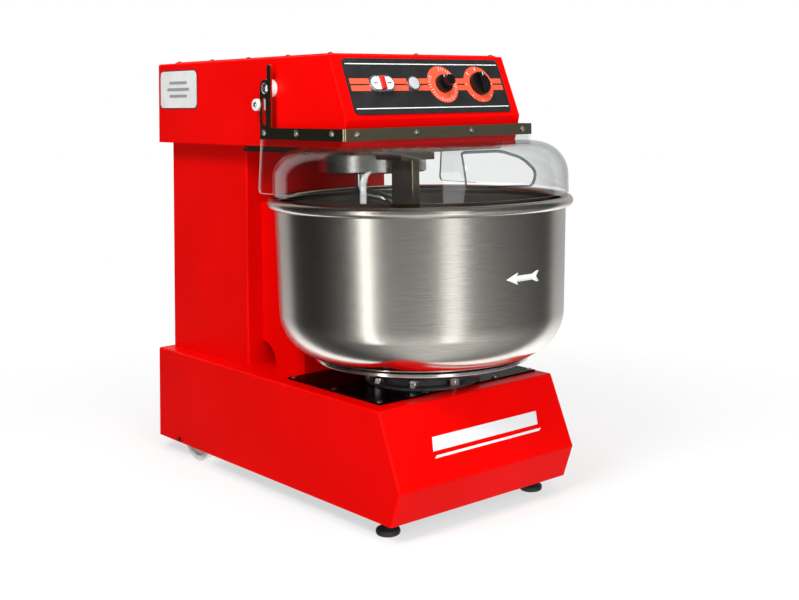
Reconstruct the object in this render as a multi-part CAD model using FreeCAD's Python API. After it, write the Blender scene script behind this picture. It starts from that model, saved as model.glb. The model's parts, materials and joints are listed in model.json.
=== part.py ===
import FreeCAD, Part

import math
import os

from FreeCAD import Vector

# Fixed-head spiral dough mixer. Millimetres, +Z up, the operator stands at -Y.
# The origin is on the floor, in the middle of the machine's overall length and width.

os.makedirs("parts", exist_ok=True)

# ---- Driving dimensions ----

SHEET = 2.5            # thickness of the folded cabinet sheets
FOLD = 4.0             # outside radius of a fold
RUN = 0.05             # radial running clearance of a shaft in its bearing
FIT = 0.15             # clearance of a fixed bolt in its hole
TOUCH = 0.3            # clearance between a moving piece and its fixed neighbour

BASE_HALF = 200.0
BASE_BOTTOM = 30.0
BASE_TOP = 204.5
BASE_REAR = 413.0
BASE_FRONT_TOP = -288.5
BASE_NOSE = -338.5
BASE_NOSE_Z = 86.0
BASE_FRONT_BOTTOM = -316.5

COLUMN_HALF = 168.0
COLUMN_FRONT = 133.5
COLUMN_REAR = 406.5

HEAD_HALF = 203.5
HEAD_BOTTOM = 618.0
HEAD_TOP = 775.0
HEAD_REAR = 400.0
PANEL_FOOT = (-218.5, 666.0)     # Y, Z where the sloping control face starts
PANEL_HEAD = (-173.5, HEAD_TOP)  # Y, Z where it meets the top
HEAD_LIP = -205.5                # Y of the lower front edge

HEAD_PLATE_Z = (605.0, 611.0)
HEAD_PLATE_FRONT = -198.0
HEAD_PLATE_HALF = 172.0
PACKING_INSET = 6.0    # how far the packing under the head stays inside the plate's edge
DECK_T = 8.0
DECK_TOP = BASE_TOP - SHEET
WALL_X = 140.0         # outside of the chassis side walls
COVER_T = 3.0
COVER_TOP = BASE_TOP + COVER_T

BOWL_Y = -166.0
BOWL_R_TOP = 256.0
BOWL_R_LOW = 249.5
BOWL_CORNER = 80.0
BOWL_BOTTOM = 255.0
BOWL_T = 2.0
RIM_Z = 520.0
RIM_ROLL = 9.0
RIM_RING = 259.6

SPIRAL_Y = -33.5
HUB_R = 100.0
HUB_Z = (566.0, 601.5)
HOOK_ROD = 11.5

BAR_X = (-47.0, -30.0)
BAR_Y = (-201.5, -144.5)
BAR_BOTTOM = 285.0

COLUMN_SHAFT = (-90.0, 200.0)
COUNTER_SHAFT = (40.0, 60.0)
MOTOR = (60.0, 300.0)
CHAIN_PITCH = 12.7
CHAIN_W = 6.0
SPIRAL_CHAIN_Z = 664.0
UPPER_CHAIN_Z = 120.0
LOWER_CHAIN_Z = 88.0
SPIRAL_TEETH = (18, 45)          # column shaft sprocket, spiral sprocket
FIRST_TEETH = (12, 40)           # column shaft sprocket, countershaft sprocket
SECOND_TEETH = (12, 60)          # countershaft sprocket, bowl sprocket
MOTOR_PULLEY_R = 32.0
LARGE_PULLEY_R = 100.0
BELT_ROWS = (694.0, 708.0)       # underside of each belt
BELT_H = 9.0

STRIP_HALF = 219.8
STRIP_FRONT = -234.2
STRIP_Z = (631.0, 651.0)
STRIP_T = 3.0
ARM_Y = (-22.5, 8.0)
ARM_Z = (659.0, 699.0)           # ends of the arm's slot
CHEEK_REAR = (19.5, 8.0)         # Y of the cheek's rear edge, at its foot and at its top
HINGE = (-7.5, 720.5)            # Y, Z of the guard's hinge line
DOME_T = 3.0
DOME_R = 261.0
DOME_Z = (535.0, 621.5)
DOME_ROUND = 57.0                # section radius of the dome's shoulder
FEED_AZIMUTH = -100.0            # direction of the feed opening from the bowl's axis, in degrees
FEED_CENTRE = (248.0, 588.0)     # its distance from that axis and its height
FEED_OUTLINE = [(-68, -24), (-8, -30), (60, -27), (70, -9), (46, 12.5), (11, 27.5), (-60, 32)]
STOP_BUSH = (18.8, 691.6)        # Y, Z of the bush the closed guard leans on

PANEL_HALF = 182.0
PANEL_V = (7.0, 110.0)           # distances up the slope from its foot
PANEL_T = 2.5
CONTROL_V = 61.0
TRIPLE_X = -113.0
START_X = -42.0
TIMER_X = 30.0
SELECTOR_X = 118.0
BUTTON_TRAVEL = 3.0

FOOT_XY = (165.0, -266.5)
FOOT_R = 20.0
WHEEL_Y = 291.5
WHEEL_R = 50.0
WHEEL_X = (150.0, 185.0)
AXLE_R = 10.0

FRONT_MOST = BOWL_Y - RIM_RING - RIM_ROLL
CABLE_R = 4.5
CABLE_X = -120.0
CABLE_Z = 62.0
CABLE_BACK_Y = -FRONT_MOST - CABLE_R

AXIS_X = Vector(1, 0, 0)
AXIS_Y = Vector(0, 1, 0)
AXIS_Z = Vector(0, 0, 1)


# ---- Shape helpers ----

def box(x, y, z):
    """A block between the two values of each pair."""
    size = [abs(pair[1] - pair[0]) for pair in (x, y, z)]
    return Part.makeBox(*size, Vector(min(x), min(y), min(z)))


def cyl(radius, centre, z):
    """An upright cylinder about (X, Y), between two heights."""
    low = Vector(centre[0], centre[1], min(z))
    return Part.makeCylinder(radius, abs(z[1] - z[0]), low, AXIS_Z)


def tube(outer, inner, centre, z):
    return cyl(outer, centre, z).cut(cyl(inner, centre, (min(z) - 1, max(z) + 1)))


def rod_along(axis, radius, start, length):
    return Part.makeCylinder(radius, length, Vector(*start), axis)


def prism(points, direction):
    """A straight extrusion of a closed outline of 3-D points."""
    vectors = [Vector(*point) for point in points]
    wire = Part.makePolygon(vectors + [vectors[0]])
    return Part.Face(wire).extrude(direction)


def side_prism(outline, half):
    """A (Y, Z) outline extruded from -half to +half."""
    points = [(-half, y, z) for y, z in outline]
    return prism(points, Vector(2 * half, 0, 0))


def plan_prism(outline, z):
    """An (X, Y) outline extruded between two heights."""
    points = [(x, y, min(z)) for x, y in outline]
    return prism(points, Vector(0, 0, abs(z[1] - z[0])))


def join(shapes):
    joined = shapes[0]
    for shape in shapes[1:]:
        joined = joined.fuse(shape)
    return joined.removeSplitter()


def group(shapes):
    return Part.makeCompound(shapes)


def mirrored(shape):
    """The same piece on the other side of the machine."""
    return shape.mirror(Vector(0, 0, 0), AXIS_X)


def round_edges(shape, radius, wanted):
    edges = [edge for edge in shape.Edges if wanted(edge)]
    return shape.makeFillet(radius, edges)


def rises(edge, height):
    """True for an upright edge of this height."""
    return abs(edge.BoundBox.ZLength - height) < 0.1


def inset(outline, distance):
    """A convex outline, listed anticlockwise, moved inwards on every side."""
    count = len(outline)
    lines = []
    for i in range(count):
        ax, ay = outline[i]
        bx, by = outline[(i + 1) % count]
        length = math.hypot(bx - ax, by - ay)
        nx, ny = -(by - ay) / length, (bx - ax) / length
        lines.append((nx, ny, nx * ax + ny * ay + distance))
    moved = []
    for i in range(count):
        a, b, c = lines[i - 1]
        d, e, f = lines[i]
        det = a * e - b * d
        moved.append(((c * e - b * f) / det, (a * f - c * d) / det))
    return moved


def turned(shape, position, direction):
    """Moves a piece made at the origin along +Z so that it points along direction."""
    copy = shape.copy()
    rotation = FreeCAD.Rotation(AXIS_Z, Vector(*direction))
    copy.Placement = FreeCAD.Placement(Vector(*position), rotation)
    return copy


def hexagon(across_flats, z):
    radius = across_flats / math.sqrt(3)
    corners = [(radius * math.cos(a), radius * math.sin(a))
               for a in (math.radians(60 * i) for i in range(6))]
    return plan_prism(corners, z)


def button_screw(shank, length, head, height):
    """A domed socket screw: the head stands on +Z, the shank goes down."""
    ball = (head ** 2 + height ** 2) / (2 * height)
    dome = Part.makeSphere(ball, Vector(0, 0, height - ball))
    dome = dome.common(cyl(head, (0, 0), (0, height)))
    dome = dome.cut(hexagon(head * 0.7, (height * 0.4, height + 1)))
    return join([dome, cyl(shank, (0, 0), (-length, 0.0))])


def hex_bolt(shank, length, flats, height):
    head = hexagon(flats, (0, height)).common(
        Part.makeCone(flats * 0.62, flats * 0.5, height + 1, Vector(0, 0, 0.4)))
    return join([head, cyl(shank, (0, 0), (-length, 0.0))])


def drilled(shape, radius, places, direction, depth=20.0):
    """Cuts clearance holes that run both ways from each place."""
    direction = Vector(*direction)
    for place in places:
        start = Vector(*place) - direction * depth
        shape = shape.cut(Part.makeCylinder(radius, 2 * depth, start, direction))
    return shape


def loop_band(first, r_first, second, r_second, z):
    """The solid inside a belt line that wraps two upright wheels."""
    span = math.hypot(second[0] - first[0], second[1] - first[1])
    heading = math.atan2(second[1] - first[1], second[0] - first[0])
    lean = math.acos((r_first - r_second) / span)

    def point(centre, radius, angle):
        return Vector(centre[0] + radius * math.cos(angle),
                      centre[1] + radius * math.sin(angle), min(z))

    left_1 = point(first, r_first, heading + lean)
    back_1 = point(first, r_first, heading + math.pi)
    right_1 = point(first, r_first, heading - lean)
    right_2 = point(second, r_second, heading - lean)
    far_2 = point(second, r_second, heading)
    left_2 = point(second, r_second, heading + lean)
    edges = [Part.Arc(left_1, back_1, right_1).toShape(),
             Part.makeLine(right_1, right_2),
             Part.Arc(right_2, far_2, left_2).toShape(),
             Part.makeLine(left_2, left_1)]
    return Part.Face(Part.Wire(edges)).extrude(Vector(0, 0, abs(z[1] - z[0])))


def belt(first, r_first, second, r_second, thickness, z):
    outside = loop_band(first, r_first + thickness, second, r_second + thickness, z)
    inside = loop_band(first, r_first, second, r_second, (z[0] - 1, z[1] + 1))
    return outside.cut(inside)


def pitch_radius(teeth):
    return CHAIN_PITCH / (2 * math.sin(math.pi / teeth))


def sprocket(teeth, centre, z, bore):
    """A toothed chain wheel with a hub, ready to slide on its shaft."""
    pitch_r = pitch_radius(teeth)
    root = pitch_r - 4.2
    tip = pitch_r + 3.4
    outline = []
    for i in range(teeth):
        for share, radius in ((-0.30, root), (-0.12, tip), (0.12, tip), (0.30, root)):
            angle = 2 * math.pi * (i + share) / teeth
            outline.append((centre[0] + radius * math.cos(angle),
                            centre[1] + radius * math.sin(angle)))
    wheel = plan_prism(outline, (z + 0.6, z + CHAIN_W - 0.6))
    boss = cyl(bore + 8.0, centre, (z - 4.0, z + CHAIN_W + 4.0))
    return join([wheel, boss]).cut(cyl(bore, centre, (z - 10, z + 20)))


def chain(first, teeth_first, second, teeth_second, z):
    """A roller chain drawn as a plain band that stays clear of the teeth."""
    outside_tips = 3.4 + TOUCH
    return belt(first, pitch_radius(teeth_first) + outside_tips,
                second, pitch_radius(teeth_second) + outside_tips, 5.0, (z, z + CHAIN_W))


# ---- Cabinet ----

BASE_SIDE = [(BASE_FRONT_BOTTOM, BASE_BOTTOM), (BASE_REAR, BASE_BOTTOM),
             (BASE_REAR, BASE_TOP), (BASE_FRONT_TOP, BASE_TOP), (BASE_NOSE, BASE_NOSE_Z)]
HEAD_SIDE = [(HEAD_LIP, HEAD_BOTTOM), (HEAD_REAR, HEAD_BOTTOM), (HEAD_REAR, HEAD_TOP),
             PANEL_HEAD, PANEL_FOOT]
BEARING_HOLE_R = 60.0
COLUMN_WELL = box((-159, 159), (142, 398), (BASE_TOP - 20, BASE_TOP + 5))


def folded_shell(outline, half, floor):
    """A closed sheet-metal box with rounded folds, all but the edges on its floor."""
    outer = side_prism(outline, half)
    outer = round_edges(outer, FOLD, lambda edge: edge.CenterOfMass.z > floor + 0.1)
    return outer.cut(side_prism(inset(outline, SHEET), half - SHEET))


def cover_screw_places():
    """Screws of the plate on top of the base, along its edges."""
    left = [(-165.0, y, COVER_TOP) for y in (-248.5, -129.5, -12.0)]
    front = [(x, -250.5, COVER_TOP) for x in (-67.0, 92.0)]
    right = [(184.0, y, COVER_TOP) for y in (-250.5, -129.5, -12.0)]
    return left + front + right


def lid_screw_places():
    """Screws of the lid on top of the head, along all four edges."""
    top = HEAD_TOP + 2.0
    sides = [(side * 187.5, y, top) for side in (-1, 1)
             for y in (-158.0, -34.5, 91.5, 217.5, 341.5)]
    ends = [(0.0, y, top) for y in (-161.5, 343.5)]
    return sides + ends


def rear_cover_places():
    return [(side * 133.0, COLUMN_REAR + 2.0, z) for side in (-1, 1) for z in (240, 415, 590)]


def housing_bolt_places():
    """Eight bolts in a circle round the bowl's bearing."""
    places = []
    for i in range(8):
        angle = math.radians(40 + 45 * i)
        places.append((92 * math.cos(angle), BOWL_Y + 92 * math.sin(angle), COVER_TOP + 4.0))
    return places


def base_shell():
    shell = folded_shell(BASE_SIDE, BASE_HALF, BASE_BOTTOM)
    mouth = box((-BASE_HALF + SHEET, BASE_HALF - SHEET), (-313.5, BASE_REAR - SHEET),
                (BASE_BOTTOM - 1, BASE_BOTTOM + SHEET + 0.2))
    shell = shell.cut(mouth).cut(COLUMN_WELL)
    shell = shell.cut(cyl(BEARING_HOLE_R, (0, BOWL_Y), (BASE_TOP - 10, BASE_TOP + 5)))
    shell = drilled(shell, 5.0 + FIT, housing_bolt_places(), (0, 0, 1), 30)
    shell = drilled(shell, 3.0 + FIT, cover_screw_places(), (0, 0, 1))
    return drilled(shell, 8.0 + FIT, [(CABLE_X, BASE_REAR, CABLE_Z)], (0, 1, 0))


def base_cover_plate():
    plate = box((-172, 190), (-258.5, -0.5), (BASE_TOP, COVER_TOP))
    plate = plate.cut(cyl(BEARING_HOLE_R, (0, BOWL_Y), (BASE_TOP - 1, COVER_TOP + 1)))
    plate = drilled(plate, 5.0 + FIT, housing_bolt_places(), (0, 0, 1), 30)
    return drilled(plate, 3.0 + FIT, cover_screw_places(), (0, 0, 1))


def cover_screws():
    screw = button_screw(3.0, 9.0, 5.5, 2.6)
    upward = [turned(screw, place, (0, 0, 1)) for place in cover_screw_places()]
    upward += [turned(screw, place, (0, 0, 1)) for place in lid_screw_places()]
    rear = [turned(screw, place, (0, 1, 0)) for place in rear_cover_places()]
    return group(upward + rear)


def column_shell():
    outer = box((-COLUMN_HALF, COLUMN_HALF), (COLUMN_FRONT, COLUMN_REAR),
                (BASE_TOP, HEAD_BOTTOM))
    outer = round_edges(outer, FOLD, lambda edge: rises(edge, HEAD_BOTTOM - BASE_TOP))
    inside = box((-COLUMN_HALF + SHEET, COLUMN_HALF - SHEET),
                 (COLUMN_FRONT + SHEET, COLUMN_REAR - SHEET), (BASE_TOP - 1, HEAD_BOTTOM + 1))
    service = box((-125, 125), (COLUMN_REAR - 5, COLUMN_REAR + 1), (250, 580))
    shell = outer.cut(inside).cut(head_plate_blank()).cut(service)
    return drilled(shell, 3.0 + FIT, rear_cover_places(), (0, 1, 0))


def rear_cover():
    plate = box((-140, 140), (COLUMN_REAR, COLUMN_REAR + 2.0), (230, 600))
    for row in range(7):
        z = 300 + 12 * row
        plate = plate.cut(box((-60, 60), (COLUMN_REAR - 1, COLUMN_REAR + 3), (z, z + 5)))
    return drilled(plate, 3.0 + FIT, rear_cover_places(), (0, 1, 0))


def bowl_envelope(offset, top):
    """The space the turning bowl needs, with a margin all round."""
    low_r = BOWL_R_LOW + offset
    corner = BOWL_CORNER + offset
    bottom = BOWL_BOTTOM - offset
    diagonal = corner / math.sqrt(2)
    foot = Vector(low_r - corner, 0, bottom)
    bend = Vector(low_r - corner + diagonal, 0, bottom + corner - diagonal)
    wall = Vector(low_r, 0, bottom + corner)
    edges = [Part.makeLine(Vector(0, 0, bottom), foot),
             Part.Arc(foot, bend, wall).toShape(),
             Part.makeLine(wall, Vector(BOWL_R_TOP + offset, 0, top)),
             Part.makeLine(Vector(BOWL_R_TOP + offset, 0, top), Vector(0, 0, top)),
             Part.makeLine(Vector(0, 0, top), Vector(0, 0, bottom))]
    solid = Part.Face(Part.Wire(edges)).revolve(Vector(0, 0, 0), AXIS_Z, 360)
    solid.translate(Vector(0, BOWL_Y, 0))
    return solid


def bowl_apron():
    """The hollow cover between column and bowl, whose face follows the bowl."""
    top = 508.0
    half = 134.0
    outer = box((-half, half), (0.5, COLUMN_FRONT), (BASE_TOP, top))
    outer = outer.cut(bowl_envelope(12.0, top + 20))
    inner = box((-half + SHEET, half - SHEET), (0.5 + SHEET, COLUMN_FRONT + 1),
                (BASE_TOP - 1, top - SHEET))
    inner = inner.cut(bowl_envelope(12.0 + SHEET, top + 20))
    notch = rod_along(AXIS_X, 44.0, (-half - 1, COLUMN_FRONT, BASE_TOP), 2 * half + 2)
    return outer.cut(inner).cut(notch)


def panel_placed(shape, x, v):
    """Moves a piece made at the origin, facing +Z, onto the sloping control face."""
    dy = PANEL_HEAD[0] - PANEL_FOOT[0]
    dz = PANEL_HEAD[1] - PANEL_FOOT[1]
    length = math.hypot(dy, dz)
    tilt = math.degrees(math.atan2(dz, dy))
    base = Vector(x, PANEL_FOOT[0] + v * dy / length, PANEL_FOOT[1] + v * dz / length)
    copy = shape.copy()
    copy.Placement = FreeCAD.Placement(base, FreeCAD.Rotation(AXIS_X, tilt))
    return copy


def with_control_holes(shape, depth):
    """Cuts the round holes that the controls pass through."""
    for x, radius in ((TRIPLE_X, 11.2), (START_X, 11.2), (TIMER_X, 6.2), (SELECTOR_X, 6.2)):
        hole = panel_placed(cyl(radius, (0, 0), (-depth, PANEL_T + 5)), x, CONTROL_V)
        shape = shape.cut(hole)
    return shape


def head_shell():
    shell = folded_shell(HEAD_SIDE, HEAD_HALF, HEAD_BOTTOM)
    floor_opening = box((-160, 160), (-202, 390), (HEAD_BOTTOM - 1, HEAD_BOTTOM + SHEET + 1))
    lid_opening = box((-178, 178), (-150, 332), (HEAD_TOP - SHEET - 1, HEAD_TOP + 1))
    shell = shell.cut(floor_opening).cut(lid_opening)
    shell = drilled(shell, 3.0 + FIT, lid_screw_places(), (0, 0, 1))
    pins = [(side * HEAD_HALF, *HINGE) for side in (-1, 1)]
    bushes = [(side * HEAD_HALF, *STOP_BUSH) for side in (-1, 1)]
    shell = drilled(shell, 4.0 + FIT, pins, (1, 0, 0))
    shell = drilled(shell, 3.0 + FIT, bushes, (1, 0, 0))
    shell = drilled(shell, 5.0 + FIT, head_plate_bolt_places(), (0, 0, 1))
    return with_control_holes(shell, 10)


def head_lid():
    lid = box((-195, 195), (-166.5, 349.5), (HEAD_TOP, HEAD_TOP + 2.0))
    lid = round_edges(lid, 6.0, lambda edge: rises(edge, 2.0))
    return drilled(lid, 3.0 + FIT, lid_screw_places(), (0, 0, 1))


def head_plate_bolt_places():
    """Bolts between the head plate and the tops of the chassis posts."""
    return [(side * 140.0, y, HEAD_BOTTOM) for side in (-1, 1) for y in (165.0, 375.0)]


def bar_bolt_places():
    x_mid = sum(BAR_X) / 2
    y_mid = sum(BAR_Y) / 2
    return [(x_mid + dx, y_mid + dy, HEAD_BOTTOM) for dx in (-25, 25) for dy in (-19, 19)]


def spiral_housing_places():
    places = []
    for i in range(6):
        angle = math.radians(30 + 60 * i)
        places.append((75 * math.cos(angle), SPIRAL_Y + 75 * math.sin(angle), HEAD_BOTTOM + 8))
    return places


def head_plate_blank():
    """The outside of the head plate: a wide plate under a narrower packing."""
    packing_half = HEAD_PLATE_HALF - PACKING_INSET
    low, high = HEAD_PLATE_Z
    back = COLUMN_FRONT + SHEET
    front = box((-HEAD_PLATE_HALF, HEAD_PLATE_HALF), (HEAD_PLATE_FRONT, back), HEAD_PLATE_Z)
    packing = box((-packing_half, packing_half), (HEAD_PLATE_FRONT + PACKING_INSET, back),
                  (high, HEAD_BOTTOM))
    rear = box((-160, 160), (COLUMN_FRONT, 395), (low, HEAD_BOTTOM))
    return join([front, packing, rear])


def head_plate():
    """The load-carrying plate under the head: spiral above, breaker bar below."""
    z = (HEAD_PLATE_Z[0] - 1, HEAD_BOTTOM + 1)
    plate = head_plate_blank().cut(cyl(42.0, (0, SPIRAL_Y), z))
    plate = plate.cut(cyl(32.0, COLUMN_SHAFT, z)).cut(cyl(40.0, MOTOR, z))
    plate = drilled(plate, 5.0 + FIT, head_plate_bolt_places(), (0, 0, 1))
    plate = drilled(plate, 5.0 + FIT, bar_bolt_places(), (0, 0, 1))
    return drilled(plate, 4.0 + FIT, spiral_housing_places(), (0, 0, 1), 30)


def head_plate_bolts():
    large = hex_bolt(5.0, 21.0, 16.0, 6.4)
    places = head_plate_bolt_places() + bar_bolt_places()
    bolts = [turned(large, place, (0, 0, 1)) for place in places]
    small = hex_bolt(4.0, 20.5, 13.0, 5.3)
    bolts += [turned(small, place, (0, 0, 1)) for place in spiral_housing_places()]
    return group(bolts)


# ---- Chassis ----

def chassis_frame():
    """The welded steel inside: floor pan, side walls, deck and four posts."""
    pan = box((-197, 197), (-313, 410), (BASE_BOTTOM, BASE_BOTTOM + 4.0))
    for side in (-1, 1):
        pan = pan.cut(box((side * 143, side * 192), (WHEEL_Y - 54, WHEEL_Y + 54), (20, 50)))
    foot_holes = [(side * FOOT_XY[0], FOOT_XY[1], BASE_BOTTOM) for side in (-1, 1)]
    wall = box((WALL_X - 6, WALL_X), (-290, 400), (BASE_BOTTOM + 4, DECK_TOP - DECK_T))
    wall = wall.cut(rod_along(AXIS_X, AXLE_R + FIT, (WALL_X - 10, WHEEL_Y, WHEEL_R), 20))
    deck = box((-WALL_X, WALL_X), (-275, 400), (DECK_TOP - DECK_T, DECK_TOP))
    bearing_holes = ((BEARING_HOLE_R, (0, BOWL_Y)), (32.0, COLUMN_SHAFT), (32.0, COUNTER_SHAFT))
    for radius, centre in bearing_holes:
        deck = deck.cut(cyl(radius, centre, (DECK_TOP - 20, DECK_TOP + 5)))
    deck = drilled(deck, 5.0 + FIT, housing_bolt_places(), (0, 0, 1), 30)
    deck = drilled(deck, 3.0 + FIT, cover_screw_places(), (0, 0, 1))
    posts = []
    for side in (-1, 1):
        for y in (165.0, 375.0):
            outside = box((side * 122, side * 158), (y - 18, y + 18), (DECK_TOP, HEAD_PLATE_Z[0]))
            inside = box((side * 125, side * 155), (y - 15, y + 15),
                         (DECK_TOP + 1, HEAD_PLATE_Z[0] - 8))
            posts.append(outside.cut(inside))
    feet = [box((side * 134, side * 158), (y - 18, y + 18), (BASE_BOTTOM + 4, DECK_TOP))
            for side in (-1, 1) for y in (165.0, 375.0)]
    frame = join([pan, wall, mirrored(wall), deck] + posts + feet)
    frame = drilled(frame, 5.0 + RUN, foot_holes, (0, 0, 1), 10)
    return drilled(frame, 5.0 + FIT, head_plate_bolt_places(), (0, 0, 1), 24)


def rear_axle():
    return rod_along(AXIS_X, AXLE_R, (-WHEEL_X[1] - 4, WHEEL_Y, WHEEL_R), 2 * WHEEL_X[1] + 8)


def wheel(side):
    """A nylon transport wheel with a recessed web, running on the axle."""
    width = WHEEL_X[1] - WHEEL_X[0]
    body = rod_along(AXIS_X, WHEEL_R, (WHEEL_X[0], WHEEL_Y, WHEEL_R), width)
    body = round_edges(body, 3.0, lambda edge: edge.Closed)
    for x in (WHEEL_X[0] - 1, WHEEL_X[1] - 8):
        recess = rod_along(AXIS_X, 40.0, (x, WHEEL_Y, WHEEL_R), 9)
        body = body.cut(recess.cut(rod_along(AXIS_X, 17.0, (x, WHEEL_Y, WHEEL_R), 9)))
    body = body.cut(rod_along(AXIS_X, AXLE_R + RUN, (WHEEL_X[0] - 5, WHEEL_Y, WHEEL_R), width + 10))
    return mirrored(body) if side < 0 else body


def foot(side):
    """A levelling foot: a round pad on a stud that screws into the floor pan."""
    centre = (side * FOOT_XY[0], FOOT_XY[1])
    pad = cyl(FOOT_R, centre, (0, 11))
    pad = round_edges(pad, 4.5, lambda edge: edge.Closed)
    neck = turned(Part.makeCone(FOOT_R - 5, 9.0, 6.0), (centre[0], centre[1], 11), (0, 0, 1))
    stud = cyl(5.0, centre, (16, 66))
    return join([pad, neck, stud])


# ---- Bowl and its drive ----

def bowl():
    outer = bowl_envelope(0.0, RIM_Z)
    inner = bowl_envelope(-BOWL_T, RIM_Z + 1)
    wall = outer.cut(inner)
    rim = Part.makeTorus(RIM_RING, RIM_ROLL, Vector(0, BOWL_Y, RIM_Z), AXIS_Z)
    return wall.fuse(rim).removeSplitter()


def bowl_ring():
    """The turntable disc that is welded under the bowl."""
    disc = cyl(189.0, (0, BOWL_Y), (BOWL_BOTTOM - 6, BOWL_BOTTOM))
    disc = disc.cut(cyl(24.0, (0, BOWL_Y), (BOWL_BOTTOM - 7, BOWL_BOTTOM + 1)))
    return round_edges(disc, 1.5, lambda edge: edge.Closed and edge.BoundBox.XLength > 300)


def bowl_shaft():
    flange = cyl(55.0, (0, BOWL_Y), (224, BOWL_BOTTOM - 6))
    shaft = cyl(20.0, (0, BOWL_Y), (74, 224))
    return join([flange, shaft])


def bowl_bearing_housing():
    centre = (0, BOWL_Y)
    flange = cyl(101.0, centre, (COVER_TOP, COVER_TOP + 4.0))
    boss = Part.makeCone(81.0, 77.0, 8.5, Vector(0, BOWL_Y, COVER_TOP + 4.0), AXIS_Z)
    body = cyl(55.0, centre, (124, COVER_TOP))
    housing = join([flange, boss, body]).cut(cyl(38.0, centre, (120, 240)))
    lip = tube(38.5, 30.0, centre, (160, 170))
    return drilled(join([housing, lip]), 5.0 + FIT, housing_bolt_places(), (0, 0, 1), 30)


def bowl_housing_bolts():
    bolt = hex_bolt(5.0, 24.0, 16.0, 9.0)
    return group([turned(bolt, place, (0, 0, 1)) for place in housing_bolt_places()])


# ---- Spiral and its drive ----

def spiral_hub():
    """The drum that carries the hook and skims just under the head."""
    drum = cyl(HUB_R, (0, SPIRAL_Y), HUB_Z)
    drum = round_edges(drum, 3.0, lambda edge: edge.Closed and edge.CenterOfMass.z < HUB_Z[0] + 1)
    hollow = cyl(HUB_R - 8, (0, SPIRAL_Y), (HUB_Z[0] + 12, HUB_Z[1] + 1))
    core = tube(34.0, 15.0, (0, SPIRAL_Y), (HUB_Z[0] + 2, HUB_Z[1]))
    drum = drum.cut(hollow).cut(cyl(15.0, (0, SPIRAL_Y), (HUB_Z[0] - 1, HUB_Z[1] + 1)))
    start = hook_points()[0]
    socket = cyl(HOOK_ROD + FIT, (start.x, start.y), (HUB_Z[0] - 1, start.z + 0.5))
    return join([drum, core]).cut(socket)


def hook_points():
    """Centre line of the hook: straight down from the hub, then a coil that tightens low."""
    start_angle = 216.0
    turns = 1.2
    top, bend, bottom = HUB_Z[0] + 12, 538.0, 284.0
    points = []

    def at(radius, degrees, z):
        angle = math.radians(degrees)
        return Vector(radius * math.cos(angle), SPIRAL_Y + radius * math.sin(angle), z)

    straight = 5
    for i in range(straight):
        points.append(at(78.0, start_angle, top + (bend - top) * i / (straight - 1)))
    steps = 20
    for i in range(1, steps + 1):
        share = i / steps
        swell = 78.0 + 13.0 * math.sin(math.pi * share) - 18.0 * share ** 2
        drop = bend + (bottom - bend) * (share * 0.75 + 0.25 * math.sin(math.pi * share / 2))
        points.append(at(swell, start_angle + 360 * turns * share, drop - 6 * share))
    return points


def ring_points(curve, at, axis_y, radius, count):
    """Points round a curve, squared up to it and starting on the side away from an upright axis."""
    centre = curve.value(at)
    along = curve.tangent(at)[0]
    outward = Vector(centre.x, centre.y - axis_y, 0)
    outward = (outward - along * outward.dot(along)).normalize()
    across = along.cross(outward)
    turns = [2 * math.pi * i / count for i in range(count)]
    return [centre + (outward * math.cos(turn) + across * math.sin(turn)) * radius for turn in turns]


def round_rod(curve, axis_y, radius, sections, around=16):
    """A round rod along a curve: one smooth surface with a flat face at each end."""
    pole_radius = radius * 6 / (4 + 2 * math.cos(2 * math.pi / around))
    shares = [k / (sections - 1) for k in range(sections)]
    rings = []
    for share in shares:
        at = curve.parameterAtDistance(curve.length() * share, curve.FirstParameter)
        rings.append(ring_points(curve, at, axis_y, pole_radius, around))
    rows = []
    for i in range(around):
        row = Part.BSplineCurve()
        row.interpolate(Points=[ring[i] for ring in rings], Parameters=shares)
        rows.append(row)
    surface = Part.BSplineSurface()
    surface.buildFromPolesMultsKnots(
        [row.getPoles() for row in rows], [1] * (around + 1), rows[0].getMultiplicities(),
        [float(i) for i in range(around + 1)], rows[0].getKnots(), True, False, 3, 3)
    side = surface.toShape()
    ends = [Part.Face(Part.Wire(edge)) for edge in side.Edges if edge.isClosed()]
    shell = Part.Shell([side] + ends)
    shell.sewShape()
    return Part.Solid(shell)


def spiral_hook():
    curve = Part.BSplineCurve()
    points = hook_points()
    curve.interpolate(points)
    rod = round_rod(curve, SPIRAL_Y, HOOK_ROD - RUN, 48)
    tip = Part.makeSphere(HOOK_ROD - 0.4, points[-1])
    return rod.fuse(tip)


def spiral_shaft():
    return cyl(15.0 - RUN, (0, SPIRAL_Y), (HUB_Z[0] + 2, 682))


def spiral_bearing_housing():
    centre = (0, SPIRAL_Y)
    flange = cyl(88.0, centre, (HEAD_BOTTOM, HEAD_BOTTOM + 8))
    body = cyl(40.0, centre, (610, 656))
    lip = tube(31.0, 22.0, centre, (630, 638))
    housing = join([flange, body]).cut(cyl(30.0, centre, (600, 660)))
    housing = join([housing, lip])
    return drilled(housing, 4.0 + FIT, spiral_housing_places(), (0, 0, 1), 30)


def breaker_bar():
    """The fixed bar that stops the dough turning with the bowl."""
    foot_z = (HEAD_PLATE_Z[0] - 12, HEAD_PLATE_Z[0])
    blade = box(BAR_X, BAR_Y, (BAR_BOTTOM, foot_z[0]))
    blade = round_edges(blade, 2.0, lambda edge: rises(edge, foot_z[0] - BAR_BOTTOM))
    x_mid = sum(BAR_X) / 2
    y_mid = sum(BAR_Y) / 2
    foot_plate = box((x_mid - 38, x_mid + 38), (y_mid - 34, y_mid + 34), foot_z)
    return drilled(join([blade, foot_plate]), 5.0 + FIT, bar_bolt_places(), (0, 0, 1), 26)


# ---- Drive train ----

def column_shaft():
    return cyl(12.5 - RUN, COLUMN_SHAFT, (108, 732))


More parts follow.
